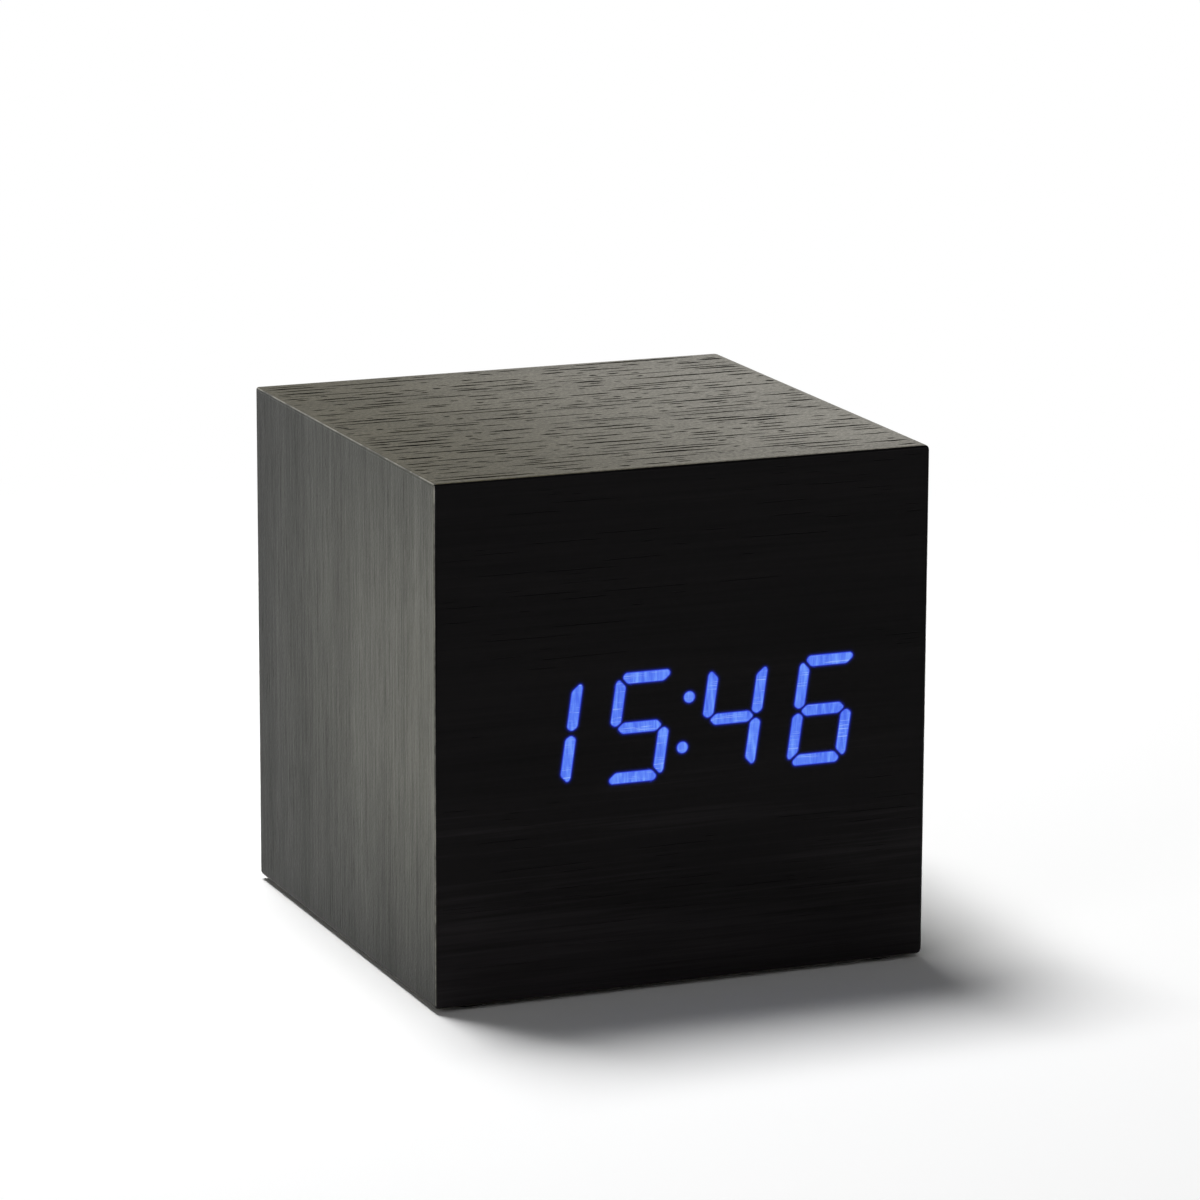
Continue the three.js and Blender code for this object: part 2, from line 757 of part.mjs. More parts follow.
// A button cap: the pill that shows, and a flange that keeps it behind the panel.
function buttonCap() {
  const cap = frontPrism(stadium(buttonWidth, buttonHeight), flangeBack, panelFace + buttonStandsOut);
  const flangeWidth = buttonWidth + 2 * buttonFlange;
  const flangeHeight = buttonHeight + 2 * buttonFlange;
  return cap.add(frontPrism(stadium(flangeWidth, flangeHeight), flangeBack, flangeFront));
}

// A tact switch's body, with the bore that its plunger slides in.
function switchBody() {
  const half = switchSize / 2;
  const body = block(-half, half, mainBoardFace, mainBoardFace + switchHeight, -half, half);
  const bottom = mainBoardFace + switchHeight - plungerDepth - plungerRoom;
  const top = mainBoardFace + switchHeight + cutOverrun;
  return body.subtract(rod(plungerRadius + slideClearance, [0, bottom, 0], [0, top, 0]));
}

function plunger() {
  const bottom = mainBoardFace + switchHeight - plungerDepth;
  return rod(plungerRadius, [0, bottom, 0], [0, flangeBack, 0]);
}

function mainBoard() {
  const body = block(
    -mainBoardWidth / 2, mainBoardWidth / 2, mainBoardInside, mainBoardFace,
    -mainBoardHeight / 2, mainBoardHeight / 2);
  const holes = posts.map(([x, z]) => rod(
    stakeRadius + screwClearance,
    [x, mainBoardInside - cutOverrun, z], [x, mainBoardFace + cutOverrun, z], holeSides));
  place(rear, "main_circuit_board", withCuts(body, holes), circuitBoard);
}

function buzzer() {
  const top = mainBoardFace + buzzerHeight;
  const body = rod(buzzerRadius, [0, mainBoardFace, 0], [0, top, 0]);
  const port = rod(buzzerPortRadius, [0, top - buzzerPortDepth, 0], [0, top + cutOverrun, 0], holeSides);
  place(rear, "buzzer", body.subtract(port), blackPlastic, buzzerAcross, 0, -lowerRowDrop);
}

function microphone() {
  const top = mainBoardFace + microphoneHeight;
  const body = rod(microphoneRadius, [0, mainBoardFace, 0], [0, top, 0], holeSides);
  place(rear, "microphone", body, nickel, microphoneAcross, 0, -lowerRowDrop);
}

// The power socket: a square base on the board, a round nose in the panel, and a bore with
// the centre pin that the plug fits over.
function powerSocket() {
  const half = socketSize / 2;
  const mouth = panelFace;
  const base = block(-half, half, mainBoardFace, panelInside - slideClearance, -half, half);
  const nose = rod(socketNoseRadius, [0, mainBoardFace, 0], [0, mouth, 0]);
  const bore = rod(socketBoreRadius, [0, mouth - socketBoreDepth, 0], [0, mouth + cutOverrun, 0]);
  const pin = rod(
    socketPinRadius,
    [0, mouth - socketBoreDepth - socketPinSetback, 0], [0, mouth - socketPinSetback, 0], holeSides);
  const socket = base.add(nose).subtract(bore).add(pin);
  place(rear, "power_socket", socket, blackPlastic, socketAcross, 0, -lowerRowDrop);
}

// What lies on the inner side of the main board is drawn towards +Y and turned round. Its
// place is given from the board's edges: from the left or right one, and from the lower or
// upper one.
function placeInside(name, shape, material, [signX, signZ], [insetX, insetZ]) {
  const geometry = geometryOf(shape);
  geometry.rotateZ(Math.PI);
  const x = signX * (mainBoardWidth / 2 - insetX);
  const z = signZ * (mainBoardHeight / 2 - insetZ);
  place(rear, name, geometry, material, x, mainBoardInside, z);
}

function backupCellAndClip() {
  const top = clipThickness + backupCellThickness;
  const cell = rod(backupCellRadius, [0, clipThickness, 0], [0, top, 0]);
  placeInside("backup_cell", cell, nickel, [1, -1], backupCellInsets);
  const halfClip = clipWidth / 2;
  const inner = backupCellRadius + restGap;
  const outer = inner + clipThickness;
  const strapTop = top + restGap + clipThickness;
  const strap = block(-outer, outer, strapTop - clipThickness, strapTop, -halfClip, halfClip);
  const legs = [block(-outer, -inner, 0, strapTop, -halfClip, halfClip),
    block(inner, outer, 0, strapTop, -halfClip, halfClip)];
  const clipFeet = [block(-outer - clipFoot, -inner, 0, clipThickness, -halfClip, halfClip),
    block(inner, outer + clipFoot, 0, clipThickness, -halfClip, halfClip)];
  const clip = joined([strap, ...legs, ...clipFeet]);
  placeInside("backup_cell_clip", clip, steel, [1, -1], backupCellInsets);
}

rearPanel();
for (const side of [-1, 1]) {
  const name = side < 0 ? "rear_screw_left" : "rear_screw_right";
  place(rear, name, screw(true), steel, side * panelScrewAcross, panelFace, 0);
}
for (const { name, across } of buttons) {
  place(rear, `${name}_button`, buttonCap(), blackPlastic, across, 0, buttonRise);
  place(rear, `${name}_switch`, switchBody(), chipPlastic, across, 0, buttonRise);
  place(rear, `${name}_switch_plunger`, plunger(), whitePlastic, across, 0, buttonRise);
}
mainBoard();
buzzer();
microphone();
powerSocket();
placeInside(
  "microcontroller",
  flatPackage(
    controllerSize, controllerSize, controllerHeight, controllerLeadsPerSide, leadPitch, ["x", "z"]),
  chipPlastic, [-1, 1], controllerInsets);
placeInside(
  "crystal", frontPrism(stadium(crystalLength, crystalWidth), 0, crystalHeight),
  nickel, [-1, -1], crystalInsets);
backupCellAndClip();
placeInside(
  "temperature_sensor",
  block(-sensorWidth / 2, sensorWidth / 2, 0, sensorDepth, -sensorHeight / 2, sensorHeight / 2),
  chipPlastic, [-1, -1], sensorInsets);

// Batteries: their own group, with zero in the middle of the clock's underside.
const battery = new THREE.Group();
battery.position.set(0, 0, -halfHeight);
cube.add(battery);

const bayX = bayLength / 2;
const bayY = bayWidth / 2;
const flangeBottom = veneerThickness + boardThickness;
const cellAcross = [-cellPitch, 0, cellPitch];
const roofTop = bayRoof + batteryWall;
const plateTop = cellRise + contactSize / 2;

// The case: a tray that opens downwards, with a flange that sits on the bottom board.
function batteryCase() {
  const outside = block(-batteryOuterX, batteryOuterX, -batteryOuterY, batteryOuterY, 0, roofTop);
  const flange = block(
    -batteryOuterX - batteryFlange, batteryOuterX + batteryFlange,
    -batteryOuterY - batteryFlange, batteryOuterY + batteryFlange,
    flangeBottom, flangeBottom + batteryWall);
  const inside = block(-bayX, bayX, -bayY, bayY, -cutOverrun, bayRoof);
  const tabSlots = [-1, 1].map((side) => {
    const middle = side * doorTabAcross;
    const reach = doorTabWidth / 2 + fitClearance;
    return block(
      -batteryOuterX - cutOverrun, -bayX + cutOverrun, middle - reach, middle + reach,
      tabSlotLip, tabSlotTop);
  });
  const tagHalf = contactTagWidth / 2 + fitClearance;
  const tagDeep = contactThickness + fitClearance;
  const roofSlots = [
    [-bayX, -bayX + tagDeep, -cellPitch - tagHalf, -cellPitch + tagHalf],
    [bayX - tagDeep, bayX, cellPitch - tagHalf, cellPitch + tagHalf],
  ].map((across) => block(...across, cellRise, roofTop + cutOverrun));
  const ridges = [-1, 1].map((side) => {
    const middle = (side * cellPitch) / 2;
    const half = cradleRidgeWidth / 2;
    const end = bayX - contactThickness - springLength;
    const low = bayRoof - cradleRidgeHeight;
    return block(-end, end, middle - half, middle + half, low, bayRoof + batteryWall / 2);
  });
  const tray = withCuts(outside.add(flange), [inside, ...tabSlots, ...roofSlots]);
  place(battery, "battery_case", joined([tray, ...ridges]), blackPlastic);
}

// The door: hooks at its left end, a springy tongue with a thumb grip at its right end.
function batteryDoor() {
  const left = -bayX + fitClearance;
  const right = bayX - fitClearance;
  const side = bayY - fitClearance;
  const plate = block(left, right, -side, side, 0, doorThickness);
  const tabs = [-1, 1].map((sign) => {
    const middle = sign * doorTabAcross;
    const half = doorTabWidth / 2;
    const top = doorTabRise + doorTabThickness;
    const reach = [left - doorTabLength, left + doorTabLength];
    return block(...reach, middle - half, middle + half, doorTabRise, top);
  });
  const slits = [-1, 1].map((sign) => {
    const middle = (sign * doorTongueWidth) / 2;
    const half = doorTongueSlit / 2;
    return block(
      right - doorTongueLength, right + cutOverrun, middle - half, middle + half,
      -cutOverrun, doorThickness + cutOverrun);
  });
  const gripEnd = right - doorGripInset;
  const gripHalf = doorTongueWidth / 2 - 2 * doorTongueSlit;
  const grip = block(gripEnd - doorGripLength, gripEnd, -gripHalf, gripHalf, -cutOverrun, doorGripDepth);
  place(battery, "battery_door", withCuts(joined([plate, ...tabs]), [...slits, grip]), blackPlastic);
}

// A cell lies along X. Its nub points to -X when the sign is -1, and touches the contact there.
function cell(sign) {
  const tip = sign * (bayX - contactThickness);
  const shoulder = tip - sign * cellNubLength;
  const bottom = shoulder - sign * cellLength;
  const body = rod(cellRadius, [bottom, 0, 0], [shoulder, 0, 0]);
  return body.add(rod(cellNubRadius, [shoulder - sign * cellNubLength, 0, 0], [tip, 0, 0], holeSides));
}

// A conical spring on a contact plate, from the plate at x = 0 towards +X.
class ConeHelix extends THREE.Curve {
  getPoint(share, target = new THREE.Vector3()) {
    const radius = THREE.MathUtils.lerp(springBaseRadius, springTipRadius, share);
    const angle = 2 * Math.PI * springTurns * share;
    const reach = (springLength - springWireRadius) * share;
    return target.set(reach, radius * Math.cos(angle), radius * Math.sin(angle));
  }
}

function spring() {
  const wire = new THREE.Shape();
  wire.absarc(0, 0, springWireRadius, 0, 2 * Math.PI);
  return new THREE.ExtrudeGeometry(wire, {
    extrudePath: new ConeHelix(),
    steps: Math.round(springTurns * springStepsPerTurn),
    curveSegments: springWireSides / 2,
    bevelEnabled: false,
  });
}

// A contact at one end of the bay: a plate over the cells from first to last, a spring on the
// ones it touches with one, and a tag through the roof where a wire is soldered on.
function contact(sign, first, last, sprung, hasTag) {
  const half = contactSize / 2;
  const inner = sign * (bayX - contactThickness);
  const [lowX, highX] = [inner, sign * bayX].sort((a, b) => a - b);
  const lowY = cellAcross[first] - half;
  const highY = cellAcross[last] + half;
  const pieces = [block(lowX, highX, lowY, highY, cellRise - half, plateTop)];
  for (const index of sprung) {
    const coil = spring();
    if (sign > 0) {
      coil.rotateZ(Math.PI);
    }
    coil.translate(inner, cellAcross[index], cellRise);
    pieces.push(solid(coil));
  }
  if (hasTag) {
    const middle = cellAcross[first];
    const tagHalf = contactTagWidth / 2;
    const tagTop = roofTop + contactTagReach;
    pieces.push(block(lowX, highX, middle - tagHalf, middle + tagHalf, cellRise, tagTop));
  }
  return joined(pieces);
}

batteryCase();
batteryDoor();
const cellSigns = [-1, 1, -1];
cellAcross.forEach((across, i) => {
  place(battery, `aaa_cell_${i + 1}`, cell(cellSigns[i]), cellWrap, 0, across, cellRise);
});
place(battery, "contact_positive", contact(-1, 0, 0, [], true), nickel);
place(battery, "contact_bridge_right", contact(1, 0, 1, [0], false), nickel);
place(battery, "contact_bridge_left", contact(-1, 1, 2, [1], false), nickel);
place(battery, "contact_negative", contact(1, 2, 2, [2], true), nickel);

// Ribbon cable: a flat strip from the main board to the display's board, drawn from the side
// (back and up, from the middle of the cube) and carried across.
const displayBoardBack = frontBoardBack + circuitThickness;
const mainBoardInner = halfDepth + mainBoardInside;
const ribbonStart = [mainBoardInner - restGap, panelRise + mainBoardHeight / 2 - ribbonMainInset];
const ribbonEnd = [displayBoardBack + restGap, displayRise + displayBoardHeight / 2 - ribbonDisplayInset];

// The share of the way from start to end, and the share of the rise there.
const ribbonShares = [[0, 0], [0.09, 0], [0.29, 0.8], [0.59, 1], [0.86, 0.05], [1, 0]];
const ribbonPoints = ribbonShares.map(([way, rise]) => [
  THREE.MathUtils.lerp(ribbonStart[0], ribbonEnd[0], way),
  THREE.MathUtils.lerp(ribbonStart[1], ribbonEnd[1], way) + ribbonRise * rise,
]);

function ribbon() {
  const curve = new THREE.SplineCurve(ribbonPoints.map(([y, z]) => new THREE.Vector2(y, z)));
  const upper = [];
  const lower = [];
  for (let i = 0; i <= ribbonSteps; i += 1) {
    const point = curve.getPoint(i / ribbonSteps);
    const along = curve.getTangent(i / ribbonSteps);
    const across = new THREE.Vector2(-along.y, along.x).multiplyScalar(ribbonThickness / 2);
    upper.push(point.clone().add(across));
    lower.unshift(point.clone().sub(across));
  }
  const geometry = new THREE.ExtrudeGeometry(new THREE.Shape([...upper, ...lower]), {
    depth: ribbonWidth,
    bevelEnabled: false,
  });
  geometry.rotateX(Math.PI / 2);
  geometry.rotateZ(Math.PI / 2);
  geometry.translate(ribbonAcross - ribbonWidth / 2, 0, 0);
  return solid(geometry);
}

// Wires: from the tags of the battery contacts to the main board.
const tagFace = bayX - contactThickness - restGap;
const tagHeight = roofTop + contactTagReach / 2 - halfHeight;
const wireEndY = mainBoardInner - restGap;
const wireEndZ = panelRise - mainBoardHeight / 2 + wireEndInset;
const wireRoutes = {
  battery_wire_red: {
    material: redWire,
    start: [-tagFace, -cellPitch, tagHeight],
    end: [redWireEnd, wireEndY, wireEndZ],
    shares: [[0.18, 0.01, 0.26], [0.55, 0.21, 0.49], [0.82, 0.57, 0.66], [0.98, 0.82, 0.97]],
  },
  battery_wire_black: {
    material: blackWire,
    start: [tagFace, cellPitch, tagHeight],
    end: [blackWireEnd, wireEndY, wireEndZ],
    shares: [[0.16, 0.01, 0.26], [0.5, 0.1, 0.49], [0.75, 0.28, 0.7], [0.96, 0.59, 0.95]],
  },
};

// The shares say how far along each axis the wire has come.
function wire(start, end, shares) {
  const points = [[0, 0, 0], ...shares, [1, 1, 1]].map((share) => (
    new THREE.Vector3(...start.map((value, axis) => THREE.MathUtils.lerp(value, end[axis], share[axis])))
  ));
  const section = new THREE.Shape();
  section.absarc(0, 0, wireRadius, 0, 2 * Math.PI);
  return solid(new THREE.ExtrudeGeometry(section, {
    extrudePath: new THREE.CatmullRomCurve3(points),
    steps: wireSteps,
    curveSegments: wireSides / 2,
    bevelEnabled: false,
  }));
}

place(cube, "ribbon_cable", ribbon(), ribbonGrey);
for (const [name, { start, end, shares, material }] of Object.entries(wireRoutes)) {
  place(cube, name, wire(start, end, shares), material);
}

export default clock;
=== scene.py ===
# %% [markdown]
# A cube alarm clock, dressed for the camera
#
# The real clock is a small wooden cube in black-stained veneer. Blue digits shine through its
# front. The CAD model gives every piece its size and place, in metres, and it stays as it is.
# This lesson builds the pieces that show with finer shapes and gives every piece its finish.
#
# Lengths below are in millimetres, because that is how a maker thinks of a clock, and one
# number turns them into Blender's metres at the end.

import json
import math
import random
from functools import partial

import bmesh
import bpy
from mathutils import Matrix, Vector
from mathutils.geometry import delaunay_2d_cdt


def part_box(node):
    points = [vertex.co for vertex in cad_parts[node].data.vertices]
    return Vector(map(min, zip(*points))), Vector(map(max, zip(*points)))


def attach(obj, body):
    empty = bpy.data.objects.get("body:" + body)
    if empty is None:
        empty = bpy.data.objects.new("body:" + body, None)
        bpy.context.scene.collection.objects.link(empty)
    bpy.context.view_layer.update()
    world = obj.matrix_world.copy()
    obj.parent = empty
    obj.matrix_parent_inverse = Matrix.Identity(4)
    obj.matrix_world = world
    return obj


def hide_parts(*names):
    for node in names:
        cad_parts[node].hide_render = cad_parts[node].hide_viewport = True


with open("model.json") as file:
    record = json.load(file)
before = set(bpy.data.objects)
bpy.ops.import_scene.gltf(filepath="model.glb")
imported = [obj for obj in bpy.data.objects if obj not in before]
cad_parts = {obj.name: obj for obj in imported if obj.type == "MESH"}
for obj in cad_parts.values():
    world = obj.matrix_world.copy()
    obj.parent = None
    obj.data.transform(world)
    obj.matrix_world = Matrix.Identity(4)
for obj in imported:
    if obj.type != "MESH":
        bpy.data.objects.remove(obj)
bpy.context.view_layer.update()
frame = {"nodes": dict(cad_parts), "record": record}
MM = 0.001

# %% [markdown]
# Every later step asks where a CAD piece lies. One helper answers in millimetres, as the
# lowest and the highest corner.

# %% Where a CAD piece lies
def corners_of(node):
    low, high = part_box(node)
    return Vector(low) / MM, Vector(high) / MM


SIDES = (("left", "right"), ("front", "back"), ("bottom", "top"))
case_low, case_high = (
    Vector([corners_of(f"{pair[end]}_veneer")[end][i] for i, pair in enumerate(SIDES)])
    for end in (0, 1))
print("wooden cube:", tuple(round(v, 2) for v in case_high - case_low), "mm")

# %% [markdown]
# The camera stands to the left of the clock and a little above it, with a long lens, so the
# cube's edges stay nearly parallel. Its place was worked out from the lines of the cube's nine
# visible edges. It looks along a direction, and it is rolled by a fifth of a degree.

# %% Camera
def add_object(name, data):
    thing = bpy.data.objects.new(name, data)
    bpy.context.scene.collection.objects.link(thing)
    return thing


camera_place = Vector((-0.2777, -0.6824, 0.2152))
camera_forward = Vector((0.36968, 0.90105, -0.22681)).normalized()
camera_roll = math.radians(0.207)
level_right = camera_forward.cross(Vector((0, 0, 1))).normalized()
level_up = level_right.cross(camera_forward)
camera_right = level_right * math.cos(camera_roll) + level_up * math.sin(camera_roll)
camera_up = camera_right.cross(camera_forward)

camera_data = bpy.data.cameras.new("camera")
camera_data.sensor_width = 36
camera_data.lens = 171.5
camera = add_object("camera", camera_data)
columns = Matrix((camera_right, camera_up, -camera_forward)).transposed()
camera.matrix_world = Matrix.Translation(camera_place) @ columns.to_4x4()
bpy.context.scene.camera = camera
print("camera", tuple(round(v, 4) for v in camera_place), "lens", camera_data.lens, "mm")

# %% [markdown]
# Finishes are small networks of nodes. The first helper turns a colour as a painter reads it,
# in sRGB hex, into the linear values that Blender mixes. The second adds any node, with one
# table of its settings and of the links that feed it: a node in the table is a link from its
# first output in use. The last makes a material of the shader that a function returns.

# %% Colours and nodes
def linear(hex_colour):
    values = [int(hex_colour[i:i + 2], 16) / 255 for i in (1, 3, 5)]
    return (*[v / 12.92 if v <= 0.04045 else ((v + 0.055) / 1.055) ** 2.4 for v in values], 1.0)


def add_node(tree, kind, values=None):
    node = tree.nodes.new("ShaderNode" + kind)
    for key, value in (values or {}).items():
        if isinstance(value, bpy.types.Node):
            value = next(output for output in value.outputs if output.enabled)
        elif isinstance(value, str) and value.startswith("#"):
            value = linear(value)
        if isinstance(value, bpy.types.NodeSocket):
            tree.links.new(node.inputs[key], value)
        elif key == "stops":
            ramp = node.color_ramp
            while len(ramp.elements) < len(value):
                ramp.elements.new(0.5)
            for element, (position, colour) in zip(ramp.elements, value):
                element.position = position
                element.color = linear(colour) if isinstance(colour, str) else (*[colour] * 3, 1)
        elif isinstance(key, int) or (key[0].isupper() and key in node.inputs):
            node.inputs[key].default_value = value
        else:
            setattr(node, key, value)
    return node


def node_adder(tree):
    """Empties a tree, and returns add_node with that tree filled in."""
    tree.nodes.clear()
    return partial(add_node, tree)


def make_finish(name, draw, *details, **more):
    finish = bpy.data.materials.new(name)
    finish.use_nodes = True
    add = node_adder(finish.node_tree)
    add("OutputMaterial", {"Surface": draw(add, *details, **more)})
    return finish


print("a mid grey, #808080, is", round(linear("#808080")[0], 3), "in linear light")

# %% [markdown]
# Patterns are sized in millimetres. A noise texture with scale 1 has features about one
# metre across, so a feature of s millimetres needs a scale of 1000 / s. Wood is stretched
# along its grain, so each axis gets its own scale through a mapping node. Most materials are
# simple: their colour, sheen and relief follow one pattern, or two mixed half and half.

# %% Patterns sized in millimetres
def sized_place(add, along, length, width):
    scale = [1 / (width * MM)] * 3
    scale["XYZ".index(along)] = 1 / (length * MM)
    place = add("TexCoord").outputs["Object"]
    return add("Mapping", {"Scale": scale, "Vector": place})


def grain(add, along, length, width, detail=2.0, roughness=0.5):
    """Uneven streaks of a real length and width. Equal sizes give round specks."""
    return add("TexNoise", {
        "Scale": 1.0, "Detail": detail, "Roughness": roughness,
        "Vector": sized_place(add, along, length, width)})


def patterned(add, patterns, stops, settings, depth=0.0, sheen=None, raised=None):
    """sheen is the roughness at both ends of the pattern. raised picks the one in relief."""
    fields = [grain(add, *pattern) for pattern in patterns]
    tone = fields[0]
    for field in fields[1:]:
        tone = add("Mix", {0: 0.5, 2: tone, 3: field})
    links = {"Base Color": add("ValToRGB", {0: tone, "stops": stops})}
    if sheen:
        links["Roughness"] = add("MapRange", {
            "From Min": 0.3, "From Max": 0.7, "To Min": sheen[0], "To Max": sheen[1],
            "Value": tone})
    if depth:
        height = tone if raised is None else fields[raised]
        links["Normal"] = add("Bump", {"Distance": depth * MM, "Height": height})
    return add("BsdfPrincipled", settings | links)


print("a 0.4 mm streak needs a noise scale of", round(1 / (0.4 * MM)))

# %% [markdown]
# The clock stands on a white sweep, lit from above and slightly behind by a soft box, so the
# front is in shade and a soft shadow falls forward. The floor is plain matt white. The camera
# sees it a little whiter than it lights the clock, as a photographer would print it, and
# further out it fades to pure white. The shadow stays.

# %% Floor
WHITE_FROM, ALL_WHITE_FROM, FLOOR_HALF = 0.16, 0.30, 3.0


def white_sweep(add):
    path = add("LightPath")
    place = add("TexCoord").outputs["Object"]
    reach = add("VectorMath", {"operation": "LENGTH", 0: place})
    far = add("MapRange", {
        "From Min": WHITE_FROM, "From Max": ALL_WHITE_FROM, "interpolation_type": "SMOOTHSTEP",
        "Value": reach.outputs["Value"]})
    seen = path.outputs["Is Camera Ray"]
    for ray in ("Is Glossy Ray", "Is Transmission Ray"):
        seen = add("Math", {"operation": "MAXIMUM", 0: seen, 1: path.outputs[ray]})
    share = add("Math", {"operation": "MULTIPLY", 0: far, 1: seen})
    whitened = add("Mix", {0: path.outputs["Is Camera Ray"], 2: 0.92, 3: 1.05})
    matt = add("BsdfDiffuse", {"Color": whitened})
    white = add("Emission", {"Strength": 1.0})
    return add("MixShader", {0: share, 1: matt, 2: white})


floor_mesh = bpy.data.meshes.new("floor")
floor_mesh.from_pydata(
    [(x * FLOOR_HALF, y * FLOOR_HALF, 0) for x, y in ((-1, -1), (1, -1), (1, 1), (-1, 1))],
    [], [(0, 1, 2, 3)])
floor_mesh.materials.append(make_finish("matt_white_sweep", white_sweep))
floor = add_object("floor", floor_mesh)
print("floor", 2 * FLOOR_HALF, "m across")

# %% [markdown]
# The room around gives a little light from the front, which fills the shadow there. Reflections
# see a room that is white behind the clock and dim before it, and that gives the satin wood its
# pale sheen at low angles. Two soft boxes do the rest: a big one overhead, a bit behind, and a
# weak one at the front left.

# %% Room and lamps
def room_light():
    world = bpy.data.worlds.new("studio")
    bpy.context.scene.world = world
    world.use_nodes = True
    add = node_adder(world.node_tree)
    path = add("LightPath")
    place = add("TexCoord").outputs["Generated"]
    depth = add("SeparateXYZ", {0: place}).outputs["Y"]
    fill = add("MapRange", {
        "From Min": -0.8, "From Max": 0.6, "To Min": 0.15, "To Max": 0.06, "Value": depth})
    sheen = add("MapRange", {
        "From Min": -0.25, "From Max": 0.6, "To Min": 0.04, "To Max": 0.85,
        "interpolation_type": "SMOOTHSTEP", "Value": depth})
    mirrored = add("Math", {
        "operation": "MAXIMUM", 0: path.outputs["Is Glossy Ray"],
        1: path.outputs["Is Transmission Ray"]})
    level = add("Mix", {0: mirrored, 2: fill, 3: sheen})
    seen = add("Math", {"operation": "MAXIMUM", 0: level, 1: path.outputs["Is Camera Ray"]})
    background = add("Background", {"Strength": seen})
    add("OutputWorld", {"Surface": background})


def soft_box(name, place, target, size, watts):
    data = bpy.data.lights.new(name, "AREA")
    data.shape = "RECTANGLE"
    data.size, data.size_y = size
    data.energy = watts
    lamp = add_object(name, data)
    lamp.location = place
    lamp.rotation_euler = (Vector(target) - Vector(place)).to_track_quat("-Z", "Y").to_euler()


room_light()
soft_box("key_soft_box", (-0.105, 0.311, 0.945), (0, 0, 0), (0.32, 0.34), 9.6)
soft_box("fill_soft_box", (-0.55, -0.30, 0.25), (0, -0.03, 0.03), (0.30, 0.30), 0.45)
bpy.context.scene.view_settings.view_transform = "Standard"

# %% [markdown]
# Black-stained veneer is a thin slice of open-pored wood, stained and then sealed with a
# satin lacquer. The stain is dark, and the lacquer mirrors pale surroundings at low angles, so
# the top looks grey. Fine streaks run along the grain, 0.45 mm wide and 27 mm long. The
# fibres' grit is drawn 0.27 mm wide, coarser than it is, or it wouldn't show. Light is also
# painted into the colour: each face is lighter at one end, a painted sheen, and darker and
# browner at the other, a painted shade. The upright faces also have painted shade at the foot
# and a little at the top.

# %% Stained veneer with painted sheen and shade
def stained_veneer_with_painted_sheen(add, along, lit_end_colour, thick, rough, contrast, grit_share):
    """The first colour is the lighter end of a painted sheen, the second the darker, browner end in
    painted shade.
    """
    streaks = grain(add, along, 27, 0.45, 3.0, 0.6)
    bands = grain(add, along, 60, 7)
    short_streaks = grain(add, along, 5, 0.35, 2.0, 0.6)
    grit = grain(add, along, 0.594, 0.27, 2.0, 0.7)
    tone = streaks
    for share, pattern in ((0.4, bands), (0.35, short_streaks), (grit_share, grit)):
        tone = add("Mix", {0: share, 2: tone, 3: pattern})
    place = add("SeparateXYZ", {0: add("TexCoord").outputs["Object"]})
    low, high = case_low * MM, case_high * MM
    # Painted sheen: with level grain the colour turns lighter and greyer towards the right end, and
    # darker and browner towards the left.
    if along == "X":
        end = add("MapRange", {
            "From Min": low.x, "From Max": high.x, "interpolation_type": "SMOOTHSTEP",
            "Value": place.outputs["X"]})
    else:
        # Painted sheen and shade: upright faces turn lighter towards the front edge, darker towards
        # the foot and a little darker towards the top.
        end = add("MapRange", {"From Min": high.y, "From Max": low.y, "Value": place.outputs["Y"]})
        height = add("MapRange", {"From Max": high.z, "Value": place.outputs["Z"]})
        middle = add("ValToRGB", {
            "stops": [(0.0, 0.0), (0.45, 1.0), (0.7, 1.0), (1.0, 0.5)], 0: height})
        end = add("Math", {"operation": "MULTIPLY", 0: end, 1: middle})
    # The two end colours, mixed by the painted sheen and shade.
    painted_sheen_colour = add("Mix", {"data_type": "RGBA", 0: end, 6: thick, 7: lit_end_colour})
    shade = add("MapRange", {
        "From Min": 0.36, "From Max": 0.64, "To Min": 1 - contrast, "To Max": 1 + contrast,
        "clamp": False, "Value": tone})
    colour = add("Mix", {"data_type": "RGBA", "blend_type": "MULTIPLY", 0: 1.0, 6: painted_sheen_colour, 7: shade})
    sheen = add("MapRange", {
        "From Min": 0.35, "From Max": 0.65, "To Min": rough + 0.1, "To Max": rough - 0.1,
        "Value": tone})
    relief = add("Bump", {"Distance": 0.012 * MM, "Height": streaks})
    relief = add("Bump", {"Distance": 0.06 * MM, "Height": grit, "Normal": relief})
    return add("BsdfPrincipled", {
        "IOR": 1.5, "Specular IOR Level": 0.2, "Base Color": colour, "Roughness": sheen,
        "Normal": relief})


# In each pair, the lighter colour is the painted sheen end and the darker one the painted shade
# end.
veneer_level = make_finish(
    "stained_veneer_level_grain", stained_veneer_with_painted_sheen, "X", "#726f66", "#3b3620", 0.44, 0.60, 0.6)
veneer_upright = make_finish(
    "stained_veneer_upright_grain", stained_veneer_with_painted_sheen, "Z", "#6a6a60", "#1d1e17", 0.46, 0.40, 0.15)
print("veneers:", veneer_level.name, veneer_upright.name)

# %% [markdown]
# In the open pores the stain gathers and dries nearly black and matt, and some pores hold less
# of it than others. Where sanding has cut through the stain on a crisp edge, the pale wood shows
# as a thin line that is broken every 4 mm or so. That pale line is also a painted highlight, the
# light that the rounded edge catches.

# %% Pores, and worn edges with a painted highlight
pore_finish = make_finish(
    "stain_dried_in_open_pores", patterned, [("X", 9, 2, 3.0)],
    [(0.52, "#060503"), (0.60, "#1a1812"), (0.70, "#353228")],
    {"IOR": 1.5, "Roughness": 0.9, "Specular IOR Level": 0.02})
